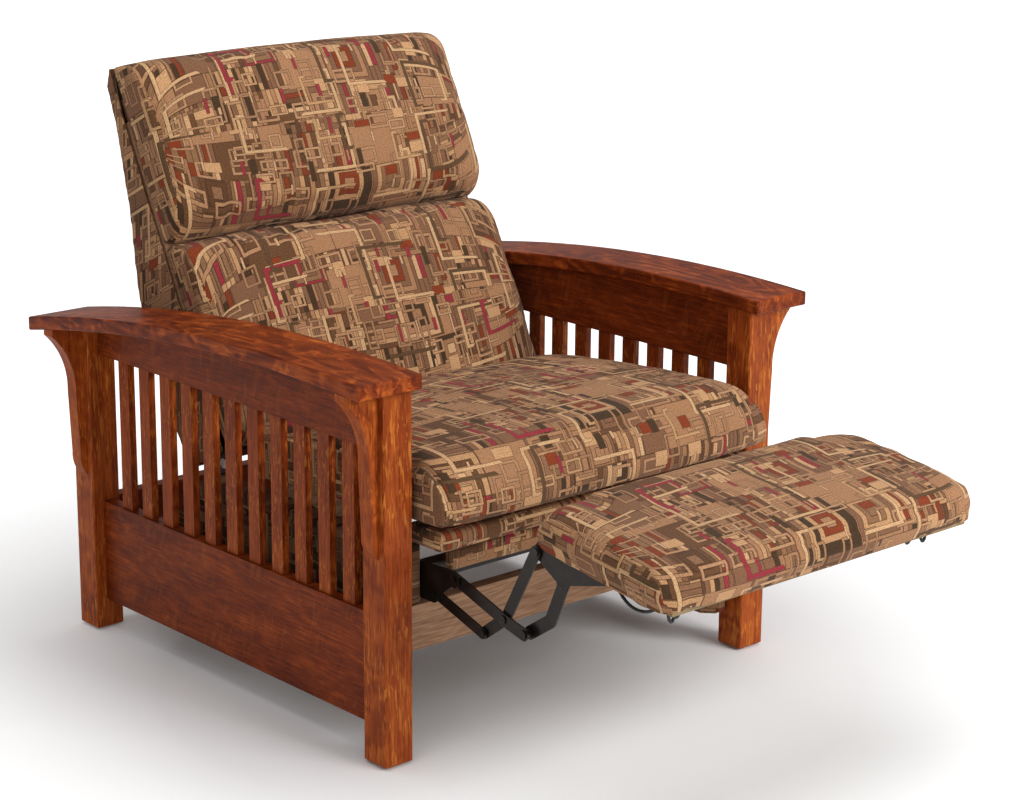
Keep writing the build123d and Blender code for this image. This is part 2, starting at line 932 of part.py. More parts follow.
def make_side_panels():
    """Plywood cheeks that give the back cover its wedge shape."""
    front = cover_front() + soft_gap
    top = side_panel_top
    outline = [(front, side_panel_base)]
    for r, w in cover_line(cover_wall + soft_gap):
        if side_panel_base < w < top:
            outline.append((r, w))
    low_r = cover_line(cover_wall + soft_gap)[0][0]
    outline.insert(1, (low_r, side_panel_base))
    line = cover_line(cover_wall + soft_gap)
    below = [p for p in line if p[1] < top][-1]
    above = [p for p in line if p[1] >= top][0]
    rise = (top - below[1]) / (above[1] - below[1])
    outline.append((below[0] + rise * (above[0] - below[0]), top))
    outline.append((front, top))
    outer = back_half_width - cover_wall - soft_gap
    with BuildPart() as panels:
        for side in (-1, 1):
            x_low = min(side * outer, side * (outer - side_panel_thickness))
            with BuildSketch(back_plane(x_low)):
                with BuildLine():
                    Polyline(*outline, close=True)
                make_face()
            extrude(amount=side_panel_thickness)
    return panels


def make_back_springs():
    """Zigzag springs that span the back frame from the bottom rail to the top rail."""
    low = back_bottom + frame_lift + frame_rail_width + spring_wire / 2 + soft_gap
    high = stile_top - frame_rail_width - spring_wire / 2 - soft_gap
    count = math.floor((high - low) / spring_pitch) + 1
    rearward = cover_front() + soft_gap + spring_wire / 2 + soft_gap
    base = back_plane(0)
    with BuildPart() as springs:
        for i in range(back_spring_count):
            x = (i - (back_spring_count - 1) / 2) * back_spring_spacing
            start = base.origin + base.x_dir * rearward + base.y_dir * low + Vector(x, 0, 0)
            plane = Plane(origin=start, x_dir=base.y_dir, z_dir=-base.x_dir)
            add(sinuous_spring(plane, count).part)
    return springs


def round_bar_x(x_low, x_high, y, z, radius):
    """A round bar along X."""
    with BuildPart() as bar:
        with BuildSketch(Plane(origin=(x_low, y, z), z_dir=(1, 0, 0))):
            Circle(radius)
        extrude(amount=x_high - x_low)
    return bar


def make_hinge_brackets():
    """Steel straps on the back's stiles, each with an eye for the hinge pin."""
    inner = stile_outer_x() + joint_clearance
    front = cover_front() + soft_gap
    with BuildPart() as brackets:
        for side in (-1, 1):
            x_low = min(side * inner, side * (inner + hinge_plate))
            with BuildSketch(back_plane(x_low)):
                Circle(hinge_eye)
                with BuildLine():
                    Polyline((front, 0), (hinge_eye, 0), (hinge_eye, hinge_eye),
                             (front + frame_bar, hinge_reach), (front, hinge_reach), close=True)
                make_face()
                Circle(hinge_pin_radius + hinge_fit, mode=Mode.SUBTRACT)
            extrude(amount=hinge_plate)
    return brackets


def make_hinge_plates():
    """Steel plates on the seat boards that hold the hinge pins."""
    foot = board_top_z - hinge_foot_drop
    with BuildPart() as plates:
        for side in (-1, 1):
            with BuildSketch(slab_plane(side, board_inner_x - hinge_plate - joint_clearance)):
                with Locations((side * pivot_y, pivot_z)):
                    Circle(hinge_eye)
                with BuildLine():
                    Polyline(
                        (side * (pivot_y - hinge_eye), pivot_z),
                        (side * (pivot_y + hinge_eye), pivot_z),
                        (side * (pivot_y + hinge_foot), board_top_z - hinge_eye),
                        (side * (pivot_y + hinge_foot), foot),
                        (side * (pivot_y - hinge_foot), foot),
                        (side * (pivot_y - hinge_foot), board_top_z - hinge_eye),
                        close=True,
                    )
                make_face()
                with Locations((side * pivot_y, pivot_z)):
                    Circle(hinge_pin_radius + joint_clearance, mode=Mode.SUBTRACT)
            extrude(amount=hinge_plate)
    return plates


def make_hinge_pins():
    """The two headed pins that the back turns on."""
    plate_in = board_inner_x - hinge_plate - joint_clearance
    strap_out = stile_outer_x() + joint_clearance + hinge_plate
    with BuildPart() as pins:
        for side in (-1, 1):
            inner = plate_in - joint_clearance
            outer = strap_out + joint_clearance
            spans = (
                (inner - hinge_head_height, inner, hinge_head_radius),
                (inner, outer, hinge_pin_radius),
                (outer, outer + hinge_head_height, hinge_head_radius),
            )
            for low, high, radius in spans:
                ends = sorted((side * low, side * high))
                add(round_bar_x(*ends, pivot_y, pivot_z, radius).part)
    return pins


def layer_x(index):
    """Inner face of a layer of the linkage; layer 0 lies against the seat board."""
    return board_inner_x - joint_clearance - plate_thickness - index * layer


def link_face(side, points, half_width_value):
    """Fills a bent flat link in the sketch being drawn: a slot along each of its runs."""
    spots = [Vector(side * y, z) for y, z in points]
    for a, b in zip(spots, spots[1:]):
        run = b - a
        angle = math.degrees(math.atan2(run.Y, run.X))
        with Locations((a + b) / 2):
            SlotCenterToCenter(run.length, 2 * half_width_value, rotation=angle)


def pivot_holes(side, places, radius):
    """Cuts pivot holes in the sketch being drawn."""
    for y, z in places:
        with Locations((side * y, z)):
            Circle(radius, mode=Mode.SUBTRACT)


def make_link(side, index, points, half_width_value, fitted, open_hole=None, slack=0):
    """One flat steel link in a layer of the linkage, with fitted holes and perhaps a slack one."""
    with BuildPart() as link:
        with BuildSketch(slab_plane(side, layer_x(index))):
            link_face(side, points, half_width_value)
            pivot_holes(side, fitted, rivet_radius + rivet_fit)
            if open_hole:
                pivot_holes(side, [open_hole], rivet_radius + slack)
        extrude(amount=plate_thickness)
    return link


def make_side_plate(side):
    """The fixed plate on the seat board; it reaches forward to the two base pivots."""
    low_y, low_z = follower_base_pivot
    high_y, high_z = main_base_pivot
    outline = [
        (high_y, high_z + plate_edge),
        (board_front_y, plate_top_z),
        (plate_back_y, plate_top_z),
        (plate_back_y, plate_bottom_z + plate_edge),
        (plate_low_y, plate_bottom_z),
        (low_y, low_z - plate_edge),
        (low_y - plate_edge, low_z),
        (high_y - plate_edge, high_z),
    ]
    with BuildPart() as plate:
        with BuildSketch(slab_plane(side, layer_x(0))):
            for y, z in (follower_base_pivot, main_base_pivot):
                with Locations((side * y, z)):
                    Circle(plate_edge)
            with BuildLine():
                Polyline(*[(side * y, z) for y, z in outline], close=True)
            make_face()
            pivot_holes(side, (follower_base_pivot, main_base_pivot), rivet_radius + joint_clearance)
        extrude(amount=plate_thickness)
    return plate


def make_cross_brace():
    """The steel angle that holds the two side plates apart."""
    outline = [
        (brace_front_y, brace_bottom_z),
        (brace_front_y + plate_thickness, brace_bottom_z),
        (brace_front_y + plate_thickness, brace_bottom_z + brace_size - plate_thickness),
        (brace_front_y + brace_size, brace_bottom_z + brace_size - plate_thickness),
        (brace_front_y + brace_size, brace_bottom_z + brace_size),
        (brace_front_y, brace_bottom_z + brace_size),
    ]
    reach = layer_x(0) - joint_clearance
    with BuildPart() as brace:
        with BuildSketch(Plane.YZ.offset(-reach)):
            with BuildLine():
                Polyline(*outline, close=True)
            make_face()
        extrude(amount=2 * reach)
    return brace


def pad_point(forward, up):
    """A point (y, z) in the footrest's plane."""
    y = pad_rear_y - forward * math.cos(pad_angle) - up * math.sin(pad_angle)
    z = pad_rear_z - forward * math.sin(pad_angle) + up * math.cos(pad_angle)
    return (y, z)


def pad_plane(x):
    """Footrest's frame at x: forward along the pad, and up from its underside."""
    return Plane(
        origin=(x, pad_rear_y, pad_rear_z),
        x_dir=(0, -math.cos(pad_angle), -math.sin(pad_angle)),
        z_dir=(-1, 0, 0),
    )


def make_bracket(side):
    """The footrest bracket: a plate with two pivots and a flange screwed under the board."""
    under = -soft_gap
    inner = layer_x(3)
    rear_y, rear_z = cross_bracket_pivot
    front_y, front_z = outer_bracket_pivot
    outline = [
        pad_point(0, under),
        pad_point(bracket_tip, under),
        pad_point(bracket_tip, under - bracket_tip_depth),
        (front_y - bracket_eye, front_z),
        (front_y, front_z - bracket_eye),
        (front_y + bracket_eye, front_z),
        (rear_y, rear_z - bracket_eye),
        (rear_y + bracket_eye, rear_z),
    ]
    with BuildPart() as bracket:
        with BuildSketch(slab_plane(side, inner)):
            with BuildLine():
                Polyline(*[(side * y, z) for y, z in outline], close=True)
            make_face()
            for y, z in (cross_bracket_pivot, outer_bracket_pivot):
                with Locations((side * y, z)):
                    Circle(bracket_eye)
            pivot_holes(side, (cross_bracket_pivot, outer_bracket_pivot), rivet_radius + rivet_fit)
        extrude(amount=plate_thickness)
        flange = [
            pad_point(0, under),
            pad_point(flange_length, under),
            pad_point(flange_length, under - plate_thickness),
            pad_point(0, under - plate_thickness),
        ]
        with BuildSketch(slab_plane(side, inner - flange_width)):
            with BuildLine():
                Polyline(*[(side * y, z) for y, z in flange], close=True)
            make_face()
        extrude(amount=flange_width + plate_thickness)
    return bracket


def make_rivets(rows):
    """Rivets across the layers on both sides. A row holds the place, the inner and outer layer,
    the radius of the inner and outer head, with 0 for a flush end, and the sleeve's radius."""
    with BuildPart() as rivets:
        for side in (-1, 1):
            for (y, z), inner, outer, inner_head, outer_head, sleeve in rows:
                low = layer_x(inner) - (joint_clearance if inner_head else 0)
                high = layer_x(outer) + plate_thickness + (joint_clearance if outer_head else 0)
                spans = [(low, high, rivet_radius)]
                if inner_head:
                    spans.append((low - rivet_head_height, low, inner_head))
                if outer_head:
                    spans.append((high, high + rivet_head_height, outer_head))
                if sleeve:
                    start = layer_x(inner) + plate_thickness + joint_clearance
                    spans.append((start, layer_x(outer) - joint_clearance, sleeve))
                for a, b, radius in spans:
                    add(round_bar_x(*sorted((side * a, side * b)), y, z, radius).part)
    return rivets


def make_footrest_board():
    """The plywood under the footrest pad."""
    made = [
        (board_inset, 0),
        (pad_length - board_inset, 0),
        (pad_length - board_inset, board_plate),
        (board_inset, board_plate),
    ]
    half = pad_half_width - board_side_inset
    with BuildPart() as board:
        with BuildSketch(pad_plane(half)):
            with BuildLine():
                Polyline(*made, close=True)
            make_face()
        extrude(amount=2 * half)
    return board


def pad_outline(share):
    """Footrest pad's outline: crowned in the middle, thin and drawn in at its ends."""
    tuck = share ** tuck_power
    crown = pad_crown * (1 - share ** 2)
    high = pad_thickness - pad_crown - tuck * pad_edge_drop
    inset = tuck * pad_end_tuck
    corners = [(inset, pad_lip), (pad_length - inset, pad_lip), (pad_length - inset, high), (inset, high)]
    return corners, pad_radii, (0, side_bulge, side_bulge + crown, side_bulge)


def make_pad():
    """The stuffed footrest pad, hollowed underneath so that it wraps round its board."""
    half = pad_half_width - board_side_inset + soft_gap
    pocket = [
        (board_inset - soft_gap, -pad_lip),
        (pad_length - board_inset + soft_gap, -pad_lip),
        (pad_length - board_inset + soft_gap, board_plate + soft_gap),
        (board_inset - soft_gap, board_plate + soft_gap),
    ]
    stuffed = cushion(pad_plane, pad_half_width, pad_outline)
    with BuildPart() as pad:
        add(stuffed.part)
        with BuildSketch(pad_plane(half)):
            with BuildLine():
                Polyline(*pocket, close=True)
            make_face()
        extrude(amount=2 * half, mode=Mode.SUBTRACT)
    return pad


def make_flap():
    """The cloth flap that hangs slack under the front of the footrest."""
    middle = (flap_rear + flap_front) / 2
    top = -soft_gap
    with BuildPart() as flap:
        with BuildSketch(pad_plane(flap_half_width)):
            with BuildLine():
                ThreePointArc((flap_rear, top), (middle, top - flap_sag), (flap_front, top))
                Line((flap_front, top), (flap_front, top - flap_thickness))
                ThreePointArc(
                    (flap_front, top - flap_thickness),
                    (middle, top - flap_thickness - flap_sag),
                    (flap_rear, top - flap_thickness),
                )
                Line((flap_rear, top - flap_thickness), (flap_rear, top))
            make_face()
        extrude(amount=2 * flap_half_width)
    return flap


def make_elastic():
    """Elastic cords along the flap's two side edges, from the bracket to the board's front."""
    top = -soft_gap - elastic_radius
    middle = (flap_rear + flap_front) / 2
    with BuildPart() as elastic:
        for side in (-1, 1):
            x = side * (flap_half_width + elastic_gap)
            with BuildLine(pad_plane(x)) as path:
                ThreePointArc((flap_rear, top), (middle, top - elastic_sag), (flap_front, top))
            with BuildSketch(Plane(origin=path.line @ 0, z_dir=path.line % 0)):
                Circle(elastic_radius)
            sweep(path=path.line)
    return elastic


def make_loops():
    """Elastic loops that stand out under the front edge, two at each side."""
    top = -soft_gap
    cords = make_elastic()
    with BuildPart() as loops:
        add(cords.part)
        for side in (-1, 1):
            for step in (0, 1):
                x = side * (flap_half_width - step * loop_spacing)
                plane = pad_plane(x)
                start = plane.origin + plane.x_dir * (flap_front + elastic_gap)
                loop_plane = Plane(origin=start, x_dir=(1, 0, 0), z_dir=plane.x_dir)
                up = loop_plane.y_dir.dot(plane.y_dir)
                with BuildLine(loop_plane) as path:
                    Line((-loop_spread / 2, up * top), (-loop_spread / 2, up * (top - loop_rise)))
                    ThreePointArc(
                        (-loop_spread / 2, up * (top - loop_rise)),
                        (0, up * (top - loop_rise - loop_spread / 2)),
                        (loop_spread / 2, up * (top - loop_rise)),
                    )
                    Line((loop_spread / 2, up * (top - loop_rise)), (loop_spread / 2, up * top))
                with BuildSketch(Plane(origin=path.line @ 0, z_dir=path.line % 0)):
                    Circle(elastic_radius)
                sweep(path=path.line)
    return loops


def build_frame():
    """The wooden frame of the chair."""
    region = under_arm_region()
    dowels = (post_size / 2, frame_depth - post_size / 2)
    for side in (-1, 1):
        keep(side_name("arm", side), make_arm(side, dowels).part)
        keep(side_name("front_post", side), make_post(side, 0, region).part)
        keep(side_name("rear_post", side), make_post(side, post_rear_y, region).part)
        top_rail = make_rail(side, top_rail_bottom, arm_crown_z, tenon_bands()[1], top_rail_bottom, region)
        keep(side_name("top_side_rail", side), top_rail.part)
        keep(side_name("bottom_side_rail", side), drilled_low_rail(side, region).part)
        keep(side_name("side_slats", side), make_slats(side).part)
        keep(side_name("front_corbel", side), make_corbel(side, post_size / 2, region).part)
        keep(side_name("rear_corbel", side), make_corbel(side, frame_depth - post_size / 2, region).part)
    keep("arm_dowels", make_dowels(dowels).part)
    keep("rear_stretcher", make_rear_stretcher().part)
    keep("floor_glides", make_glides().part)


def build_seat():
    """The seat box and what lies in it."""
    for side in (-1, 1):
        keep(side_name("seat_side_board", side), make_side_board(side).part)
    keep("mounting_cleats", make_cleats().part)
    keep("unit_bolts", make_unit_bolts().part)
    keep("padded_front_rail", make_padded_rail().part)
    keep("front_apron", make_apron().part)
    keep("base_cross_rail", make_cross_rail().part)
    keep("seat_rear_rail", make_rear_rail().part)
    keep("seat_springs", make_seat_springs().part)
    keep("seat_deck", make_deck().part)
    keep("seat_cushion", cushion(seat_plane, seat_half_width, seat_outline).part)


def build_back():
    """The reclining back and its hinges."""
    keep("back_frame", make_back_frame().part)
    keep("back_side_panels", make_side_panels().part)
    keep("back_springs", make_back_springs().part)
    keep("back_cover", make_back_cover().part)
    low = back_bottom
    split = pillow_split
    keep("lumbar_cushion", make_pillow(low, split - pillow_crease, lumbar_radii, 0).part)
    keep("headrest_pillow", make_pillow(split, back_top, headrest_radii, pillow_overhang).part)
    keep("back_hinge_straps", make_hinge_brackets().part)
    keep("back_hinge_plates", make_hinge_plates().part)
    keep("back_hinge_pins", make_hinge_pins().part)


def build_mechanism():
    """The steel linkage that swings the footrest out, in layers from the seat board inwards."""
    a, b, c = follower_cross_pivot, main_cross_pivot, cross_bracket_pivot
    d, e = main_outer_pivot, outer_bracket_pivot
    head, wide = rivet_head_radius, bracket_head_radius
    for side in (-1, 1):
        keep(side_name("mechanism_plate", side), make_side_plate(side).part)
        main = [main_base_pivot, b, d]
        link = make_link(side, 1, main, main_link_half_width, main)
        keep(side_name("main_link", side), link.part)
        follower = [follower_base_pivot, a]
        link = make_link(side, 1, follower, follower_link_half_width, follower[:1], a, follower_pivot_slack)
        keep(side_name("follower_link", side), link.part)
        link = make_link(side, 2, [a, b, c], cross_link_half_width, [a, b, c])
        keep(side_name("cross_link", side), link.part)
        link = make_link(side, 4, [d, outer_link_bend, e], outer_link_half_width, [d], e, bracket_pivot_slack)
        keep(side_name("outer_link", side), link.part)
        keep(side_name("footrest_bracket", side), make_bracket(side).part)
    keep("cross_brace", make_cross_brace().part)
    base = [(main_base_pivot, 1, 0, 0, head, 0), (follower_base_pivot, 1, 0, 0, head, 0)]
    keep("base_rivets", make_rivets(base).part)
    cross = [(a, 2, 1, head, head, 0), (b, 2, 1, head, head, 0), (c, 3, 2, head, head, 0)]
    keep("cross_link_rivets", make_rivets(cross).part)
    keep("outer_link_rivets", make_rivets([(d, 4, 1, head, head, head)]).part)
    keep("bracket_rivets", make_rivets([(e, 4, 3, wide, 0, 0)]).part)


def build_footrest():
    """The footrest itself."""
    keep("footrest_board", make_footrest_board().part)
    keep("footrest_pad", make_pad().part)
    keep("footrest_underside_cover", make_flap().part)
    keep("footrest_elastic", make_loops().part)


def footprint_shift():
    """How far the chair slides along Y so that its box is centred on the origin."""
    boxes = [part.bounding_box() for part in pieces.values()]
    return -(min(box.min.Y for box in boxes) + max(box.max.Y for box in boxes)) / 2


build_frame()
build_seat()
build_back()
build_mechanism()
build_footrest()
shift = footprint_shift()
for piece_name, piece in pieces.items():
    placed = piece.moved(Location((0, shift, 0)))
    placed.label = piece_name
    export_step(placed, f"parts/{piece_name}.step")
print("pieces", len(pieces), "shift", round(shift, 3))
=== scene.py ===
import bpy
import bmesh
import math
import numpy as np
from mathutils import Matrix, Vector, noise


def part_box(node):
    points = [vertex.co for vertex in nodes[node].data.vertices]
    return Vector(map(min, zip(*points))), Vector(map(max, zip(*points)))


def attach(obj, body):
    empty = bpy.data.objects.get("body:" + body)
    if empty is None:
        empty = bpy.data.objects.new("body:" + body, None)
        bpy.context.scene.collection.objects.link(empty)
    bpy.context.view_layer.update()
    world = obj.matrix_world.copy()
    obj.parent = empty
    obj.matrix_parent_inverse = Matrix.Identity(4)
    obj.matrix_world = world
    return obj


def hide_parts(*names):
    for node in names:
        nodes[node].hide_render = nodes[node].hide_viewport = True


# A mission reclining armchair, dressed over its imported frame. Metres, Z up, the sitter faces -Y.

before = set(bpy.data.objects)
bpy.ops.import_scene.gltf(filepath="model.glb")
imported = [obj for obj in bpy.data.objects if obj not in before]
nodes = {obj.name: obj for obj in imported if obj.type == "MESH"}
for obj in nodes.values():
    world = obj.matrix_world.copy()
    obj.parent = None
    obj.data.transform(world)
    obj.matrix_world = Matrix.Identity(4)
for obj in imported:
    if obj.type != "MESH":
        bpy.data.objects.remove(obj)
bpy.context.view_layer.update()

# Where the frame's own origin lies from the front face of the posts
FRONT = -0.171721
SIDES = ("right", "left")
# One full turn of a sine wave in a material
TURN = 6.283


def linear(code):
    """A hex colour as linear red, green, blue and alpha."""
    parts = [int(code[i:i + 2], 16) / 255 for i in (1, 3, 5)]
    return tuple(p / 12.92 if p <= 0.04045 else ((p + 0.055) / 1.055) ** 2.4 for p in parts) + (1.0,)


# Node writing

class Tree:
    """Writes a material's nodes as short sums."""

    def __init__(self, name):
        self.mat = bpy.data.materials.new(name)
        self.mat.use_nodes = True
        self.nodes = self.mat.node_tree.nodes
        self.links = self.mat.node_tree.links
        self.nodes.clear()
        self.out = self.nodes.new("ShaderNodeOutputMaterial")
        self.shader = self.nodes.new("ShaderNodeBsdfPrincipled")
        self.links.new(self.shader.outputs[0], self.out.inputs["Surface"])

    def put(self, socket, value):
        if isinstance(value, bpy.types.NodeSocket):
            self.links.new(value, socket)
        else:
            socket.default_value = value

    def math(self, op, a, b=0.0, c=0.0):
        node = self.nodes.new("ShaderNodeMath")
        node.operation = op
        for socket, value in zip(node.inputs, (a, b, c)):
            self.put(socket, value)
        return node.outputs[0]

    def add(self, a, b):
        return self.math("ADD", a, b)

    def sub(self, a, b):
        return self.math("SUBTRACT", a, b)

    def mul(self, a, b):
        return self.math("MULTIPLY", a, b)

    def less(self, a, b):
        return self.math("LESS_THAN", a, b)

    def more(self, a, b):
        return self.math("GREATER_THAN", a, b)

    def floor(self, a):
        return self.math("FLOOR", a)

    def absolute(self, a):
        return self.math("ABSOLUTE", a)

    def either(self, a, b):
        """The larger of two numbers, so where at least one of two masks is 1."""
        return self.math("MAXIMUM", a, b)

    def both(self, a, b):
        """Where two masks of 0 and 1 overlap."""
        return self.math("MULTIPLY", a, b)

    def pick(self, factor, a, b):
        """a where factor is 0, b where it is 1, as plain numbers."""
        node = self.nodes.new("ShaderNodeMix")
        node.data_type = "FLOAT"
        for socket, value in zip((node.inputs[0], node.inputs[2], node.inputs[3]), (factor, a, b)):
            self.put(socket, value)
        return node.outputs[0]

    def mix(self, factor, a, b, kind="MIX"):
        node = self.nodes.new("ShaderNodeMix")
        node.data_type = "RGBA"
        node.blend_type = kind
        for socket, value in zip((node.inputs[0], node.inputs[6], node.inputs[7]), (factor, a, b)):
            self.put(socket, value)
        return node.outputs[2]

    def join(self, x, y, z=0.0):
        node = self.nodes.new("ShaderNodeCombineXYZ")
        for socket, value in zip(node.inputs, (x, y, z)):
            self.put(socket, value)
        return node.outputs[0]

    def split(self, vector):
        node = self.nodes.new("ShaderNodeSeparateXYZ")
        self.put(node.inputs[0], vector)
        return node.outputs

    def place(self):
        """The point on the piece in its own axes, which are the frame's at rest."""
        node = self.nodes.new("ShaderNodeTexCoord")
        return node.outputs["Object"]

    def attribute(self, name):
        node = self.nodes.new("ShaderNodeAttribute")
        node.attribute_name = name
        return node.outputs["Vector"]

    def noise(self, vector, scale, detail=2.0, rough=0.5, distortion=0.0):
        node = self.nodes.new("ShaderNodeTexNoise")
        for name, value in (("Vector", vector), ("Scale", scale), ("Detail", detail),
                            ("Roughness", rough), ("Distortion", distortion)):
            self.put(node.inputs[name], value)
        return node.outputs["Fac"]

    def chance(self, x, y, z=0.0):
        """A random number from 0 to 1 for a cell, and three more as a colour."""
        node = self.nodes.new("ShaderNodeTexWhiteNoise")
        node.noise_dimensions = "3D"
        self.put(node.inputs["Vector"], self.join(x, y, z))
        return node.outputs["Value"], node.outputs["Color"]

    def ramp(self, factor, stops, kind="LINEAR"):
        node = self.nodes.new("ShaderNodeValToRGB")
        node.color_ramp.interpolation = kind
        marks = node.color_ramp.elements
        while len(marks) < len(stops):
            marks.new(0.5)
        for mark, (at, colour) in zip(marks, stops):
            mark.position = at
            mark.color = linear(colour) if isinstance(colour, str) else colour
        self.put(node.inputs[0], factor)
        return node.outputs[0]

    def level(self, factor, low, high, to_low=0.0, to_high=1.0):
        """Maps low..high to to_low..to_high, held at its ends."""
        node = self.nodes.new("ShaderNodeMapRange")
        for socket, value in zip(node.inputs[:5], (factor, low, high, to_low, to_high)):
            self.put(socket, value)
        return node.outputs[0]

    def bump(self, height, strength, distance):
        node = self.nodes.new("ShaderNodeBump")
        node.inputs["Strength"].default_value = strength
        node.inputs["Distance"].default_value = distance
        self.put(node.inputs["Height"], height)
        return node.outputs[0]

    def surface(self, **values):
        for name, value in values.items():
            self.put(self.shader.inputs[name.replace("_", " ")], value)
        return self.mat


# Each grain axis with the two axes across it, as numbers
AXES = {"X": (0, 1, 2), "Y": (1, 0, 2), "Z": (2, 0, 1)}
STAIN = (
    (0.08, "#391206"), (0.32, "#5b210a"), (0.5, "#7b3210"), (0.66, "#984519"), (0.84, "#b25a22"),
    (1.0, "#cb7630"),
)
# Growth lines a metre
GROWTH = 430


def wood(name, grain, tone, across, shift, rings, lines, ray, fleck):
    """Stained oak whose grain runs along an axis. across picks the axis that its growth lines cross,
    rings draws flat-sawn figure, and lines draws the growth lines. ray gives the flecks a metre along the
    grain and across it, and their slant."""
    t = Tree(name)
    axes = t.split(t.place())
    g, c1, c2 = (axes[i] for i in AXES[grain])
    if across:
        c1, c2 = c2, c1
    g = t.add(g, shift)

    def drawn_out(share, scale, *detail):
        """Noise stretched along the grain."""
        return t.noise(t.join(t.mul(g, share), c1, c2), scale, *detail)

    wander = t.sub(drawn_out(1.5, 6.0, 2.0), 0.5)
    fine = drawn_out(0.06, 300.0, 3.0, 0.62)
    broad = drawn_out(0.22, 26.0, 3.0, 0.6)
    cloud = drawn_out(0.6, 7.0, 2.0)
    wave = t.math("SINE", t.add(t.mul(t.add(c1, t.mul(wander, 0.02)), TURN * GROWTH), t.mul(fine, 7.0)))
    value = t.add(tone, t.mul(wave, lines * 0.5))
    for layer, share in ((fine, 0.62), (broad, 0.42), (cloud, 0.30)):
        value = t.add(value, t.mul(t.sub(layer, 0.5), share))
    if rings:
        swirl = drawn_out(0.34, 9.0, 2.0, 0.4, 0.6)
        ring = t.math("SINE", t.add(t.mul(swirl, TURN * 11), t.mul(fine, 2.2)))
        value = t.add(value, t.mul(ring, rings))
        flame = drawn_out(0.6, 48.0, 2.0, 0.5, 1.3)
        value = t.add(value, t.mul(t.level(flame, 0.52, 0.68), rings * 2.2))
    base = t.ramp(value, STAIN)
    pore = t.level(drawn_out(0.035, 1100.0, 2.0, 0.5), 0.58, 0.68)
    base = t.mix(t.mul(pore, 0.5), base, linear("#2b1008"))
    if fleck:
        ray_along, ray_across, slant = ray
        lean = t.add(g, t.mul(t.add(c1, c2), slant))
        spots = t.noise(t.join(t.mul(lean, ray_along / 100), t.mul(c1, ray_across / 100),
                               t.mul(c2, ray_across / 100)), 100.0, 2.0, 0.5, 0.7)
        patch = t.noise(t.join(g, c1, c2), 9.0, 1.0)
        mark = t.mul(t.level(spots, 0.56, 0.64), t.level(patch, 0.36, 0.55))
        base = t.mix(t.mul(mark, fleck), base, linear("#d48434"))
    relief = t.sub(t.mul(fine, 0.5), t.mul(pore, 0.9))
    shine = t.add(0.36, t.mul(fine, 0.2))
    return t.surface(Base_Color=base, Roughness=shine, Coat_Weight=0.03, Coat_Roughness=0.2,
                     Specular_IOR_Level=0.08, Normal=t.bump(relief, 0.3, 0.0004))


# The upholstery's patchwork: blocks of bars under plain rectangles, frames and angles, laid out at random.
# The colours of the bars, each with the share of the bars where it starts
BARS = (
    (0.00, "#7b5d44"), (0.20, "#9f7c5a"), (0.36, "#63482f"), (0.48, "#b39269"), (0.58, "#85674a"),
    (0.67, "#433422"), (0.75, "#957352"), (0.82, "#7c3b20"), (0.875, "#c0a077"), (0.93, "#5b412b"),
    (0.962, "#8c323b"), (0.982, "#c2a67c"),
)
# Cell, half width, half height, key, share of the cells, colour, and a frame's band
PATCHES = (
    (0.062, 0.0205, 0.0125, 0.47, 0.85, "#a88764", 0.0042),
    (0.057, 0.0120, 0.0210, 0.19, 0.70, "#9b7b5a", 0.0038),
    (0.081, 0.0140, 0.0100, 0.37, 0.46, "#bb9a70"),
    (0.089, 0.0120, 0.0075, 0.61, 0.44, "#7f3c1f"),
    (0.097, 0.0055, 0.0140, 0.13, 0.40, "#453624"),
    (0.073, 0.0032, 0.0110, 0.77, 0.38, "#8d333c"),
    (0.067, 0.0020, 0.0080, 0.29, 0.46, "#bfa27a"),
    (0.063, 0.0155, 0.0095, 0.83, 0.46, "#b0916b", 0.0034),
)
# Cell, reach, half width, key, share of the cells, and colour
ANGLES = (
    (0.118, 0.041, 0.0029, 0.31, 0.70, "#c2a67c"),
    (0.150, 0.027, 0.0025, 0.53, 0.50, "#b3946a"),
    (0.134, 0.036, 0.0038, 0.87, 0.10, "#8d333c"),
    (0.171, 0.050, 0.0028, 0.19, 0.50, "#5a4730"),
)
OUTLINE = "#3f2c1c"
# Half the width of a line between bars, the length of a bar's pieces, and the threads' pitches
BAR_LINE, BAR_CUT = 0.0007, 0.058
WEFT, WARP = 0.0011, 0.0014


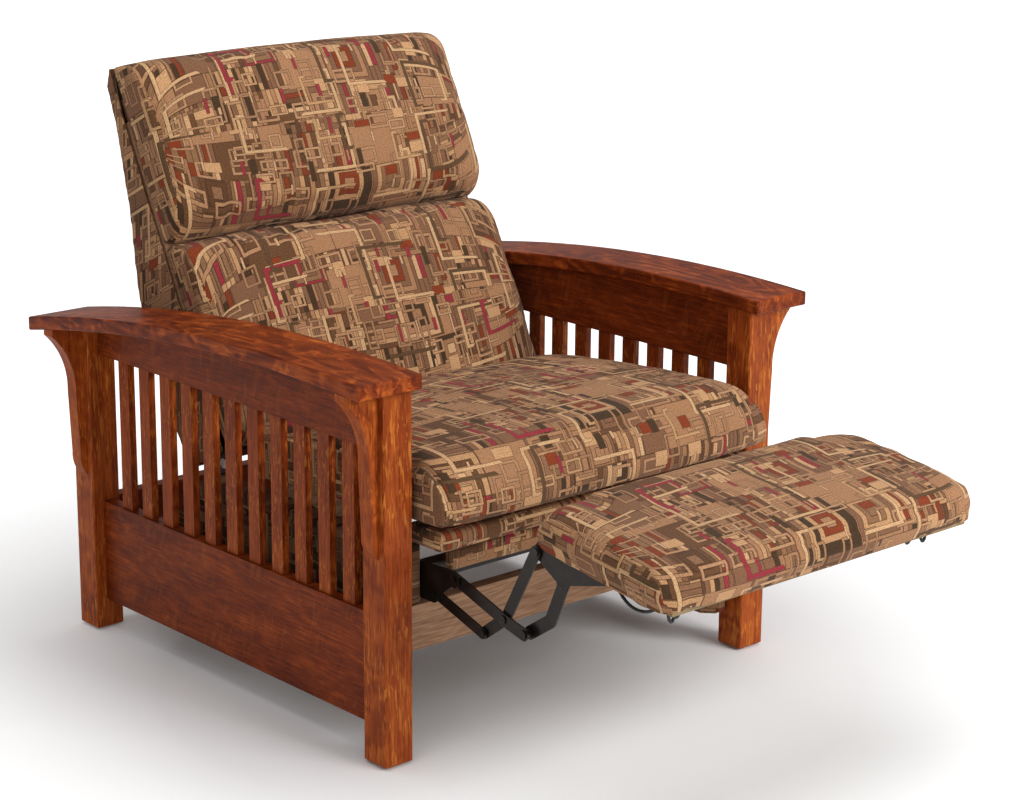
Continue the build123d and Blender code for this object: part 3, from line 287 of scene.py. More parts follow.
def patchwork(name, source, painted_shade=0.0):
    """Woven patchwork from cloth coordinates, u and v in metres. Its last argument darkens it all as painted
    shade.
    """
    t = Tree(name)
    u, v = source(t)
    ground = t.noise(t.join(u, v), 900.0, 2.0, 0.7)
    coarse = t.noise(t.join(u, v), 380.0, 2.0, 0.75)

    def cell(value, size):
        return t.floor(t.math("DIVIDE", value, size))

    def jog(number, share, size):
        """How far a row or column is pushed along itself, so that the cells don't line up."""
        return t.mul(t.math("FRACT", t.mul(number, share)), size)

    def near_edge(value):
        """The distance from the middle of each step of 1, which is 0.5 at the steps' edges."""
        return t.absolute(t.sub(t.math("FRACT", value), 0.5))

    def bars(a, b, size, width, key):
        """Blocks of bars over one layer of cells. Returns its colour number, line mask and a cell number."""
        row = cell(b, size)
        shifted = t.add(a, jog(row, 0.37, size))
        column = cell(shifted, size * 1.25)
        la = t.sub(t.sub(shifted, t.mul(column, size * 1.25)), size * 0.625)
        lb = t.sub(t.sub(b, t.mul(row, size)), size * 0.5)
        kind, three = t.chance(column, row, key)
        r1, r2, r3 = t.split(three)
        oa = t.sub(la, t.mul(t.sub(r1, 0.5), size * 0.5))
        ob = t.sub(lb, t.mul(t.sub(r2, 0.5), size * 0.4))
        nested = t.either(t.absolute(oa), t.absolute(ob))
        lying, standing = t.less(kind, 0.40), t.more(kind, 0.60)
        run = t.pick(standing, t.pick(lying, nested, t.add(lb, 0.2)), t.add(la, 0.2))
        other = t.pick(standing, t.pick(lying, 0.0, la), lb)
        plain = t.both(t.less(r1, 0.40), t.more(r2, 0.18))
        step = cell(run, width)
        bar_chance, _ = t.chance(t.add(step, t.mul(column, 7.0)), row, key + 3.0)
        cut_at = t.math("DIVIDE", t.add(other, t.mul(bar_chance, 0.09)), BAR_CUT)
        cut = t.floor(cut_at)
        number, _ = t.chance(t.add(step, t.mul(column, 11.0)), t.add(cut, t.mul(row, 5.0)), key + 5.0)
        line = t.more(near_edge(t.math("DIVIDE", run, width)), 0.5 - BAR_LINE / width)
        ends = t.more(near_edge(cut_at), 0.5 - BAR_LINE / BAR_CUT)
        edge = t.either(t.more(t.absolute(la), size * 0.625 - 0.0008),
                        t.more(t.absolute(lb), size * 0.5 - 0.0008))
        straight = t.either(lying, standing)
        drawn = t.mul(t.either(line, t.both(ends, straight)), t.sub(1.0, plain))
        number = t.pick(plain, number, t.mul(r3, 0.4))
        return number, t.either(drawn, edge), r3

    def palette(number):
        return t.ramp(number, BARS, "CONSTANT")

    number, line, _ = bars(u, v, 0.046, 0.0084, 1.0)
    colour = palette(number)
    # Larger blocks laid over the small ones here and there
    number2, line2, third = bars(t.add(u, 0.013), t.add(v, 0.021), 0.070, 0.0098, 23.0)
    show = t.more(third, 0.60)
    colour = t.mix(show, colour, palette(number2))
    line = t.pick(show, line, line2)

    def lay(inside, rim, shade):
        """Lays a shape and its dark outline over what is there."""
        nonlocal colour, line
        line = t.either(t.mul(line, t.sub(1.0, inside)), t.sub(rim, inside))
        colour = t.mix(inside, colour, linear(shade))

    def patch(size, wide, high, key, share, shade, band=0.0):
        """A rectangle in some of the cells: filled, or a frame as wide as the band."""
        row = cell(t.add(v, key), size)
        push = jog(row, 0.43, size)
        column = cell(t.add(u, push), size)
        chance, three = t.chance(column, row, key)
        r1, r2, r3 = t.split(three)
        a = t.sub(t.sub(t.add(u, push), t.mul(t.add(column, 0.5), size)), t.mul(t.sub(r1, 0.5), size * 0.5))
        b = t.sub(t.sub(t.add(v, key), t.mul(t.add(row, 0.5), size)), t.mul(t.sub(r2, 0.5), size * 0.5))
        wide = t.mul(wide, t.add(0.7, t.mul(r3, 0.6)))
        high = t.mul(high, t.sub(1.3, t.mul(r3, 0.6)))
        on = t.less(chance, share)
        far = t.either(t.sub(t.absolute(a), wide), t.sub(t.absolute(b), high))
        inside, rim = t.both(t.less(far, 0.0), on), t.both(t.less(far, 0.0009), on)
        if band:
            inside = t.both(inside, t.more(far, -band))
            rim = t.both(rim, t.more(far, -band - 0.0009))
        lay(inside, rim, shade)

    def angle(size, reach, width, key, share, shade):
        """A long pale or red angle in some of the cells."""
        high = size * 0.86
        column = cell(t.add(u, key), size)
        pushed = t.add(v, jog(column, 0.5, size))
        row = cell(pushed, high)
        a = t.sub(t.sub(t.add(u, key), t.mul(column, size)), size * 0.5)
        b = t.sub(pushed, t.mul(t.add(row, 0.5), high))
        chance, three = t.chance(column, row, key)
        r1, r2, _ = t.split(three)
        a = t.mul(a, t.sub(t.mul(t.more(r1, 0.5), 2.0), 1.0))
        b = t.mul(b, t.sub(t.mul(t.more(r2, 0.5), 2.0), 1.0))
        away = t.absolute(t.sub(t.either(t.absolute(a), t.absolute(t.mul(b, 1.15))), reach))
        half = t.add(a, t.mul(b, 0.9))
        on = t.less(chance, share)
        inside = t.both(t.both(t.less(away, width), t.more(half, -0.004)), on)
        rim = t.both(t.both(t.less(away, width + 0.0008), t.more(half, -0.0048)), on)
        lay(inside, rim, shade)

    for row in PATCHES:
        patch(*row)
    for row in ANGLES:
        angle(*row)
    colour = t.mix(t.mul(line, 0.78), colour, linear(OUTLINE))
    heather = t.mul(t.level(ground, 0.32, 0.68, 0.80, 1.18), t.level(coarse, 0.36, 0.64, 0.76, 1.22))
    soft = t.level(t.noise(t.join(u, v), 9.0, 2.0), 0.3, 0.7, 0.93, 1.06)
    # The heather and broad tone are the cloth's own, but the last argument's darkening is painted shade.
    scale = t.mul(t.mul(heather, soft), 1.0 - painted_shade)
    tint = t.join(*(t.mul(scale, share) for share in (1.07, 0.91, 0.87)))
    colour = t.mix(1.0, colour, tint, "MULTIPLY")
    weft = t.math("SINE", t.mul(v, TURN / WEFT))
    warp = t.math("SINE", t.mul(u, TURN / WARP))
    thread = t.add(t.mul(weft, warp), t.mul(ground, 1.5))
    relief = t.sub(thread, t.mul(line, 1.6))
    return t.surface(Base_Color=colour, Roughness=0.92, Specular_IOR_Level=0.12, Sheen_Weight=0.06,
                     Sheen_Roughness=0.5, Normal=t.bump(relief, 0.42, 0.0006))


def from_attribute(t):
    """Cloth coordinates as lay_cloth wrote them."""
    x, y, _ = t.split(t.attribute("cloth"))
    return x, y


def from_side(t):
    """Cloth coordinates for a board that stands along the seat's side."""
    _, y, z = t.split(t.place())
    return y, z


def steel(name, colour, rough, metal, speck):
    """Steel with handling marks, a faint orange peel and specks. colour has dark, light and the specks'."""
    t = Tree(name)
    point = t.place()
    smear = t.noise(point, 42.0, 3.0, 0.6)
    peel = t.noise(point, 900.0, 2.0)
    spots = t.level(t.noise(point, 360.0, 2.0, 0.7), 0.66, 0.72)
    base = t.mix(t.level(smear, 0.35, 0.7), linear(colour[0]), linear(colour[1]))
    base = t.mix(t.mul(spots, speck), base, linear(colour[2]))
    return t.surface(Base_Color=base, Metallic=metal, Roughness=t.add(rough, t.mul(t.sub(smear, 0.5), 0.25)),
                     Normal=t.bump(peel, 0.2, 0.0002))


def plain_cloth(name, low, high):
    """Plain woven backing cloth."""
    t = Tree(name)
    x, y, z = t.split(t.place())
    threads = TURN / 0.0013
    weave = t.mul(t.math("SINE", t.mul(x, threads)), t.math("SINE", t.mul(t.add(y, z), threads)))
    blot = t.noise(t.place(), 20.0, 3.0, 0.6)
    tone = t.add(t.mul(weave, 0.15), blot)
    base = t.ramp(tone, ((0.25, low), (0.8, high)))
    return t.surface(Base_Color=base, Roughness=0.95, Specular_IOR_Level=0.15,
                     Normal=t.bump(weave, 0.5, 0.0004))


def moulded(name, low, high, rough):
    """Nylon or braided elastic with a fine grain."""
    t = Tree(name)
    grain = t.noise(t.place(), 600.0, 3.0, 0.6)
    base = t.mix(t.level(t.noise(t.place(), 60.0, 2.0), 0.3, 0.7), linear(low), linear(high))
    return t.surface(Base_Color=base, Roughness=t.add(rough, t.mul(grain, 0.12)),
                     Normal=t.bump(grain, 0.3, 0.0002))


def raw_timber(name):
    """Unfinished pine or poplar with its grain along X."""
    t = Tree(name)
    x, y, z = t.split(t.place())
    wander = t.noise(t.join(t.mul(x, 1.2), y, z), 6.0, 2.0)
    lines = t.math("SINE", t.add(t.mul(t.add(z, t.mul(wander, 0.09)), TURN * 70), t.mul(wander, 9.0)))
    fine = t.noise(t.join(t.mul(x, 0.05), y, z), 420.0, 3.0, 0.6)
    tone = t.add(t.mul(lines, 0.05), fine)
    base = t.ramp(tone, ((0.2, "#6e4930"), (0.5, "#a47a5a"), (0.85, "#c79f7b")))
    return t.surface(Base_Color=base, Roughness=0.72, Normal=t.bump(fine, 0.35, 0.0004))


# Materials

# Part, grain, tone, axis across, the left one's shift, rings, lines, rays and flecks
OAK_PAIRS = (
    ("arm", "Y", 0.45, 0, 0.4, 0.10, 0.05, (60, 60, 0.0), 0.0),
    ("post", "Z", 0.62, 0, 0.3, 0.03, 0.16, (34, 240, 1.2), 0.5),
    ("rail", "Y", 0.44, 1, 0.7, 0.03, 0.16, (120, 26, 0.25), 0.07),
    ("slat", "Z", 0.55, 1, 0.5, 0.0, 0.16, (60, 260, 0.6), 0.35),
)
OAK = {}
for index, side in enumerate(SIDES):
    for part, grain, tone, across, shift, *figure in OAK_PAIRS:
        OAK[f"{part}_{side}"] = wood(f"oak_{part}_{side}", grain, tone, across, shift * index, *figure)
OAK["corbel"] = wood("oak_corbel", "Z", 0.66, 1, 0.1, 0.05, 0.10, (60, 240, 0.8), 0.35)
OAK["stretcher"] = wood("oak_stretcher", "X", 0.45, 1, 0.0, 0.03, 0.16, (120, 26, 0.2), 0.07)
fabric = patchwork("patchwork", from_attribute)
# The seat's side boards use the same patchwork darkened by 0.45, as painted shade for where they sit inside
# the chair.
board_fabric_painted_shade = patchwork("patchwork_boards", from_side, 0.45)
black_steel = steel("black_steel", ("#171310", "#2a2420", "#4a423b"), 0.36, 0.55, 0.35)
zinc = steel("bright_steel", ("#8d8a85", "#c9c5be", "#6a6762"), 0.30, 1.0, 0.25)
rivet_steel = steel("rivet_steel", ("#1b1815", "#393531", "#77716a"), 0.34, 0.75, 0.3)
oiled = steel("spring_steel", ("#3a3632", "#5b554f", "#26221f"), 0.4, 0.9, 0.3)
backing = plain_cloth("backing_cloth", "#7d6a50", "#a8926f")
timber = raw_timber("plain_timber")
elastic = moulded("black_elastic", "#0d0c0b", "#1c1a18", 0.55)
nylon = moulded("nylon", "#8a857c", "#a8a298", 0.5)

PLAIN = {
    "arm_dowels": OAK["corbel"], "rear_stretcher": OAK["stretcher"], "floor_glides": nylon,
    "mounting_cleats": timber, "unit_bolts": zinc, "base_cross_rail": timber, "seat_rear_rail": timber,
    "seat_springs": oiled, "back_frame": timber, "back_side_panels": timber, "back_springs": oiled,
    "back_hinge_straps": black_steel, "back_hinge_plates": black_steel, "back_hinge_pins": zinc,
    "cross_brace": black_steel, "base_rivets": rivet_steel,
    "cross_link_rivets": rivet_steel, "outer_link_rivets": rivet_steel, "bracket_rivets": rivet_steel,
    "footrest_board": backing, "footrest_elastic": elastic,
}
for side in SIDES:
    PLAIN["arm_" + side] = OAK["arm_" + side]
    for name in ("front_post_", "rear_post_"):
        PLAIN[name + side] = OAK["post_" + side]
    for name in ("top_side_rail_", "bottom_side_rail_"):
        PLAIN[name + side] = OAK["rail_" + side]
    PLAIN["side_slats_" + side] = OAK["slat_" + side]
    for name in ("front_corbel_", "rear_corbel_"):
        PLAIN[name + side] = OAK["corbel"]
    PLAIN["seat_side_board_" + side] = board_fabric_painted_shade
    for name in ("mechanism_plate_", "main_link_", "follower_link_", "cross_link_", "outer_link_",
                 "footrest_bracket_"):
        PLAIN[name + side] = black_steel
for name, material in PLAIN.items():
    nodes[name].data.materials.clear()
    nodes[name].data.materials.append(material)


# Soft goods

def slope(degrees):
    """The directions along a surface that rises backwards by an angle, and out of it."""
    angle = math.radians(degrees)
    return (0.0, math.cos(angle), math.sin(angle)), (0.0, -math.sin(angle), math.cos(angle))


# The back at its rest lean, the seat and the footrest: along each, and out of its face
UP_BACK, OUT_BACK = slope(63)
SEAT_BACK, SEAT_UP = slope(-3)
PAD_BACK, PAD_UP = slope(7)

# How far cloth may rise, by the cosine between its face and the way its cushion faces out: least where
# the cushion rests, then at its sides. SINK is the most that it may sink or slide
FACING = (-0.6, -0.2, 0.3, 1.0)
REST_RISE, SIDE_RISE, SINK = 0.001, 0.0055, 0.0015
# The pressure simulation's frames, pressure and stiffness
FRAMES, PRESSURE, STIFF = 20, 4.0, 15.0
# How far in from a piece's end its cloth turns onto that end
END_INSET = 0.03


def arrays(mesh):
    """Vertex places of a mesh as an array."""
    places = np.zeros(len(mesh.vertices) * 3, np.float32)
    mesh.vertices.foreach_get("co", places)
    return places.reshape(-1, 3).astype(float)


def write(mesh, places):
    """Moves a mesh's vertices to the places."""
    mesh.vertices.foreach_set("co", places.astype(np.float32).ravel())
    mesh.update()


def normals(mesh):
    """Vertex normals of a mesh as an array."""
    out = np.zeros(len(mesh.vertices) * 3, np.float32)
    mesh.vertices.foreach_get("normal", out)
    return out.reshape(-1, 3).astype(float)


def link(name, data):
    """A new object in the scene."""
    obj = bpy.data.objects.new(name, data)
    bpy.context.scene.collection.objects.link(obj)
    return obj


def link_made(name, bm):
    """A new object with the mesh that was built in bm."""
    mesh = bpy.data.meshes.new(name)
    bm.to_mesh(mesh)
    bm.free()
    return link(name, mesh)


def shade_smooth(mesh):
    for polygon in mesh.polygons:
        polygon.use_smooth = True


def apply_modifiers(obj):
    """Turns an object's modifiers into its mesh."""
    graph = bpy.context.evaluated_depsgraph_get()
    made = bpy.data.meshes.new_from_object(obj.evaluated_get(graph))
    obj.modifiers.clear()
    old = obj.data
    obj.data = made
    bpy.data.meshes.remove(old)


def soft_copy(node, name, voxel, shrink):
    """A voxel remesh of a CAD solid, drawn in a little along its normals."""
    obj = link(name, nodes[node].data.copy())
    bm = bmesh.new()
    bm.from_mesh(obj.data)
    bmesh.ops.remove_doubles(bm, verts=bm.verts, dist=1e-5)
    bm.to_mesh(obj.data)
    bm.free()
    remesh = obj.modifiers.new("remesh", "REMESH")
    remesh.mode = "VOXEL"
    remesh.voxel_size = voxel
    apply_modifiers(obj)
    relax(obj.data, 2)
    write(obj.data, arrays(obj.data) - normals(obj.data) * shrink)
    obj.data.materials.clear()
    return obj


def relax(mesh, rounds):
    """Evens out a mesh by moving each vertex towards the middle of its neighbours."""
    edges = np.zeros(len(mesh.edges) * 2, np.int32)
    mesh.edges.foreach_get("vertices", edges)
    a, b = edges.reshape(-1, 2).T
    places = arrays(mesh)
    count = np.bincount(np.concatenate((a, b)), minlength=len(places)).clip(1)[:, None]
    for _ in range(rounds):
        total = np.zeros_like(places)
        np.add.at(total, a, places[b])
        np.add.at(total, b, places[a])
        places = places + 0.5 * (total / count - places)
    write(mesh, places)


def puff(obj, out, proud=0.012):
    """Blows a pad up as cloth. It may rise by proud where it faces out, less at its sides and hardly
    where it rests."""
    before = arrays(obj.data)
    facing = normals(obj.data)
    cloth = obj.modifiers.new("cloth", "CLOTH")
    settings = cloth.settings
    settings.quality = 4
    settings.mass = 0.3
    settings.tension_stiffness = STIFF
    settings.compression_stiffness = STIFF
    settings.shear_stiffness = 5.0
    settings.bending_stiffness = 0.5
    settings.use_pressure = True
    settings.uniform_pressure_force = PRESSURE
    settings.effector_weights.gravity = 0.0
    cloth.collision_settings.use_collision = False
    cloth.collision_settings.use_self_collision = False
    cloth.point_cache.frame_start = 1
    cloth.point_cache.frame_end = FRAMES
    for step in range(1, FRAMES + 1):
        bpy.context.scene.frame_set(step)
    graph = bpy.context.evaluated_depsgraph_get()
    after = arrays(obj.evaluated_get(graph).to_mesh())
    obj.evaluated_get(graph).to_mesh_clear()
    obj.modifiers.clear()
    bpy.context.scene.frame_set(1)
    move = after - before
    rise = (move * facing).sum(1)
    slide = move - facing * rise[:, None]
    cap = np.interp(facing @ np.array(out), FACING, (REST_RISE, SIDE_RISE, SIDE_RISE, proud))
    rise = np.where(rise > 0, cap * np.tanh(rise / cap), SINK * np.tanh(rise / SINK))
    length = np.linalg.norm(slide, axis=1).clip(1e-9)[:, None]
    slide = slide / length * (SINK * np.tanh(length / SINK))
    write(obj.data, before + facing * rise[:, None] + slide)


def subdivide(obj):
    """Splits each face in four and rounds the mesh."""
    level = obj.modifiers.new("smooth", "SUBSURF")
    level.levels = 1
    level.render_levels = 1
    apply_modifiers(obj)
    shade_smooth(obj.data)


def cut_planes(obj, planes):
    """Cuts the mesh along planes, so that a seam follows an edge loop."""
    bm = bmesh.new()
    bm.from_mesh(obj.data)
    for point, normal in planes:
        geometry = bm.verts[:] + bm.edges[:] + bm.faces[:]
        bmesh.ops.bisect_plane(bm, geom=geometry, plane_co=point, plane_no=normal, dist=0.0004)
    bm.to_mesh(obj.data)
    bm.free()


def noise_field(points, scale, seed=0.0):
    """Smooth noise at each point, from about -1 to 1."""
    return np.array([noise.noise(Vector(p * scale) + Vector((seed, -seed, 2 * seed))) for p in points])


def seam(obj, distance):
    """Sinks a seam where distance is 0 and gathers the cloth beside it into small puckers."""
    depth, width, reach = 0.0030, 0.0035, 0.06
    pucker, pitch, spread, seed = 0.0008, 0.016, 0.020, 3.0
    places, out = arrays(obj.data), normals(obj.data)
    near = np.abs(distance) < reach
    sink = np.zeros(len(places))
    sink[near] = -depth * np.exp(-(distance[near] / width) ** 2)
    field = noise_field(places[near], 1.0 / pitch, seed)
    sink[near] += pucker * field * np.exp(-np.abs(distance[near]) / spread)
    write(obj.data, places + out * sink[:, None])


def wrinkle(obj, amount, scale, stretch, seed):
    """Broad soft unevenness all over a pad."""
    places, out = arrays(obj.data), normals(obj.data)
    field = noise_field(places * np.array(stretch), scale, seed)
    write(obj.data, places + out * (amount * field)[:, None])


def lay_cloth(obj, along, out, side_from, turn=0.0, slip=(0.0, 0.0)):
    """Writes cloth coordinates on every corner: across the piece, and round its profile from an angle of
    turn. along and out span the profile. Beyond side_from across, the cloth turns onto the piece's end."""
    mesh = obj.data
    places = arrays(mesh)
    along, out = np.array(along, float), np.array(out, float)
    along /= np.linalg.norm(along)
    out /= np.linalg.norm(out)
    flat = np.stack((places @ along, places @ out), axis=1)
    slab = flat[np.abs(places[:, 0]) < 0.03]
    middle = (slab.min(0) + slab.max(0)) / 2
    order = slab - middle
    angle = np.arctan2(order[:, 1], order[:, 0])
    steps = np.linspace(-math.pi, math.pi, 181)
    ring = []
    for low, high in zip(steps[:-1], steps[1:]):
        inside = (angle >= low) & (angle < high)
        if inside.any():
            best = np.argmax(np.hypot(order[inside, 0], order[inside, 1]))
            ring.append((math.atan2(*order[inside][best][::-1]), *order[inside][best]))
    ring = np.array(sorted(ring))
    ring = np.vstack((ring, ring[:1] + np.array((2 * math.pi, 0, 0))))
    first = ring[0, 0]
    lengths = np.concatenate(([0.0], np.cumsum(np.hypot(*np.diff(ring[:, 1:], axis=0).T))))
    total = lengths[-1]

    def arc(points):
        """The length round the profile at each point."""
        turned = np.arctan2(points[:, 1] - middle[1], points[:, 0] - middle[0])
        turned = (turned - turn - first) % (2 * math.pi) + first
        base = np.interp(first + (turn % (2 * math.pi)), ring[:, 0], lengths)
        spot = (turned + turn - first) % (2 * math.pi) + first
        value = np.interp(spot, ring[:, 0], lengths)
        return -((value - base) % total)

    loops = np.zeros(len(mesh.loops), np.int32)
    mesh.loops.foreach_get("vertex_index", loops)
    facing = np.zeros(len(mesh.polygons) * 3, np.float32)
    mesh.polygons.foreach_get("normal", facing)
    facing = facing.reshape(-1, 3)
    centre = np.zeros(len(mesh.polygons) * 3, np.float32)
    mesh.polygons.foreach_get("center", centre)
    centre = centre.reshape(-1, 3)
    sizes = np.zeros(len(mesh.polygons), np.int32)
    mesh.polygons.foreach_get("loop_total", sizes)
    ends = (np.abs(centre[:, 0]) > side_from) & (np.abs(facing[:, 0]) > 0.62)
    end_loop = np.repeat(ends, sizes)
    face_flat = np.stack((centre.astype(float) @ along, centre.astype(float) @ out), axis=1)
    face_arc = np.repeat(arc(face_flat), sizes)
    corner_arc = arc(flat)[loops]
    corner_arc += total * np.round((face_arc - corner_arc) / total)
    front = arc(np.array([[middle[0], middle[1] + 1.0]]))[0]
    corner = places[loops]
    mark = np.sign(np.repeat(centre[:, 0], sizes))
    depth = flat[:, 1].max() - flat[loops, 1]
    u = np.where(end_loop, mark * (side_from + depth), corner[:, 0])
    v = np.where(end_loop, front + flat[loops, 0] - middle[0], corner_arc)
    values = np.stack((u + slip[0], v + slip[1], np.zeros(len(u))), axis=1)
    layer = mesh.attributes.new("cloth", "FLOAT_VECTOR", "CORNER")
    layer.data.foreach_set("vector", values.astype(np.float32).ravel())


def dress(obj, body, replaced):
    obj.data.materials.clear()
    obj.data.materials.append(fabric)
    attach(obj, body)
    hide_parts(replaced)


def make_seat():
    """The seat cushion, with a seam near each end."""
    obj = soft_copy("seat_cushion", "seat_cushion_soft", 0.0065, 0.003)
    puff(obj, SEAT_UP, 0.014)
    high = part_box("seat_cushion")[1]
    line = high.x - 0.013
    cut_planes(obj, [((side * line, 0, 0), (1, 0, 0)) for side in (-1, 1)])
    subdivide(obj)
    seam(obj, np.abs(arrays(obj.data)[:, 0]) - line)
    wrinkle(obj, 0.0014, 9.0, (1.0, 1.5, 1.0), 5.0)
    lay_cloth(obj, SEAT_BACK, SEAT_UP, line, turn=-0.9)
    dress(obj, "root", "seat_cushion")


def smooth(value):
    """Eases 0..1, held at its ends."""
    value = np.clip(value, 0.0, 1.0)
    return value * value * (3.0 - 2.0 * value)


def crease_edge(node, sign):
    """How far a pillow's CAD solid reaches up or down the back."""
    return sign * (arrays(nodes[node].data) @ np.array(UP_BACK) * sign).max()


def close_crease(obj, sign, plane):
    """Stretches a pillow's facing roll to the crease's plane, so that two pillows meet."""
    strip, gap, longest = 0.008, 0.0007, 0.011
    corner, roll = 0.012, 0.045
    places = arrays(obj.data)
    up = np.array(UP_BACK)
    reach = places @ up * sign
    across = np.abs(places[:, 0])
    steps = np.arange(0.0, across.max() + strip, strip)
    tops = np.array([reach[np.abs(across - step) < strip].max() for step in steps])
    most = np.interp(across, steps, tops)
    missing = np.clip(plane * sign - gap - most, 0.0, longest)
    missing *= 1.0 - 0.7 * smooth((across - across.max() + corner) / corner)
    share = smooth((reach - most + roll) / roll)
    write(obj.data, places + up * (sign * missing * share)[:, None])


def make_pillow(node, slip):
    """One of the two pillows of the back. slip moves its cloth, so that the two don't look alike."""
    obj = soft_copy(node, node + "_soft", 0.006, 0.003)
    puff(obj, OUT_BACK)
    crease = (crease_edge("lumbar_cushion", 1) + crease_edge("headrest_pillow", -1)) / 2
    close_crease(obj, 1 if node == "lumbar_cushion" else -1, crease)
    subdivide(obj)
    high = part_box(node)[1]
    wrinkle(obj, 0.0016, 8.0, (1.0, 1.6, 1.6), 11.0)
    lay_cloth(obj, UP_BACK, OUT_BACK, high.x - END_INSET, turn=-math.pi / 2, slip=slip)
    dress(obj, "back", node)


def wrap_board(obj):
    """Draws the pad's rim down round the edges of the board under it."""
    # The rim's height and how softly it begins, and how far it ends below the board
    rim, ease, below = 0.036, 0.028, 0.0030
    # The corner's centre in from the board's corner, its radius, and the most that it is fed out by
    inner, corner, longest = 0.02, 0.033, 0.012
    # The height that is drawn in to the board's edges, where the cloth is stapled, and the room it leaves
    hem, start, spare, pull = 0.027, 0.029, 0.0045, 0.82
    places = arrays(obj.data)
    along, up = np.array(PAD_BACK), np.array(PAD_UP)
    board = arrays(nodes["footrest_board"].data)
    half = np.abs(board[:, 0]).max()
    front, back = (board @ along).min(), (board @ along).max()
    underside = (board @ up).min()
    level, depth = places @ up, places @ along
    outside = np.maximum(np.abs(places[:, 0]) - half, np.maximum(front - depth, depth - back))
    floor = level.min()
    low = smooth((floor + rim - level) / ease)
    px = np.abs(places[:, 0]) - half + inner
    for py, toward in ((front + inner - depth, -along), (depth - back + inner, along)):
        radius = np.hypot(px, py).clip(1e-6)
        push = np.clip(corner - radius, 0.0, longest) * smooth(np.minimum(px, py) / 0.008) * low
        places[:, 0] += np.sign(places[:, 0]) * push * px / radius
        places += toward * (push * py / radius)[:, None]
        outside = np.maximum(outside, np.where(push > 0.0, push + 0.003, -1.0))
    drop = floor - underside + below
    places -= up * (drop * low * smooth((outside - 0.0012) / 0.003))[:, None]
    level, depth = places @ up, places @ along
    tuck = pull * smooth((underside + start - level) / hem)
    beyond = np.maximum(np.abs(places[:, 0]) - half - spare, 0.0)
    places[:, 0] -= np.sign(places[:, 0]) * beyond * tuck
    beyond = np.maximum(depth - back - spare, 0.0) - np.maximum(front - spare - depth, 0.0)
    write(obj.data, places - along * (beyond * tuck)[:, None])


def gather(obj, corner):
    """Pleats that run into a corner of the pad."""
    amount, folds, reach = 0.0012, 7, 0.030
    places, out = arrays(obj.data), normals(obj.data)
    away = places - corner
    above = away @ np.array(PAD_UP)
    distance = np.linalg.norm(away, axis=1)
    angle = np.arctan2(above, away @ np.array(PAD_BACK) + np.abs(away[:, 0]))
    fold = np.sin(angle * folds) * np.exp(-((distance - 0.02) / reach) ** 2)
    fold *= smooth((distance - 0.006) / 0.014) * smooth(above / 0.012)
    write(obj.data, places + out * (amount * fold)[:, None])


def make_pad():
    """The footrest's pad, with a low hump at its rear and pleats in its front corners."""
    hump, hump_level, hump_depth, hump_half = 0.006, 0.05, 0.11, 0.205
    obj = soft_copy("footrest_pad", "footrest_pad_soft", 0.006, 0.003)
    puff(obj, PAD_UP, 0.011)
    wrap_board(obj)
    subdivide(obj)
    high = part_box("footrest_pad")[1]
    places = arrays(obj.data)
    depth, level = places @ np.array(PAD_BACK), places @ np.array(PAD_UP)
    rise = smooth((level - level.max() + hump_level) / 0.03)
    rise *= smooth((depth - depth.max() + hump_depth) / 0.06)
    rise *= 1.0 - smooth((np.abs(places[:, 0]) - hump_half) / 0.035)
    write(obj.data, places + np.array(PAD_UP) * (hump * rise)[:, None])
    rim = places[(depth < depth.min() + 0.02) & (level > level.min() + 0.012)]
    for mark in (-1, 1):
        gather(obj, rim[np.argmax(rim[:, 0] * mark)])
    wrinkle(obj, 0.0013, 12.0, (1.0, 1.0, 1.0), 17.0)
    lay_cloth(obj, PAD_BACK, PAD_UP, high.x - END_INSET, turn=-math.pi / 2)
    dress(obj, "footrest", "footrest_pad")


def make_firm(node, name, body, voxel, along, out, line):
    """A thinly padded board or shell in cloth: rounded edges and a little slack."""
    obj = soft_copy(node, name, voxel, 0.0008)
    relax(obj.data, 4)
    subdivide(obj)
    wrinkle(obj, 0.0009, 14.0, (1.0, 1.0, 1.0), 23.0)
    lay_cloth(obj, along, out, line, turn=-math.pi / 2)
    dress(obj, body, node)


make_seat()
make_pillow("lumbar_cushion", (0.031, 0.12))
make_pillow("headrest_pillow", (0.0, 0.0))
make_pad()
make_firm("padded_front_rail", "padded_front_rail_soft", "root", 0.005, (0, 1, 0), (0, 0, 1), 0.306)
make_firm("front_apron", "front_apron_soft", "root", 0.004, (0, 0, 1), (0, -1, 0), 0.27)
make_firm("back_cover", "back_cover_soft", "back", 0.005, UP_BACK, (0, 1, 0), 0.30)
make_firm("seat_deck", "seat_deck_soft", "root", 0.004, (0, 1, 0), (0, 0, 1), 0.5)


# Under the footrest: a point on the plane of the board's underside, and how far forward of it the flap
# starts and stops. The elastic starts a little below the board
PAD_ORIGIN = Vector((0, -0.2037 + FRONT, 0.3793))
PAD_FORWARD = -Vector(PAD_BACK)
FLAP_START, FLAP_STOP = 0.118, 0.222
ELASTIC_TOP = 0.0042


def under_pad(forward, drop):
    """A point under the footrest on its middle line."""
    return PAD_ORIGIN + PAD_FORWARD * forward - Vector(PAD_UP) * drop


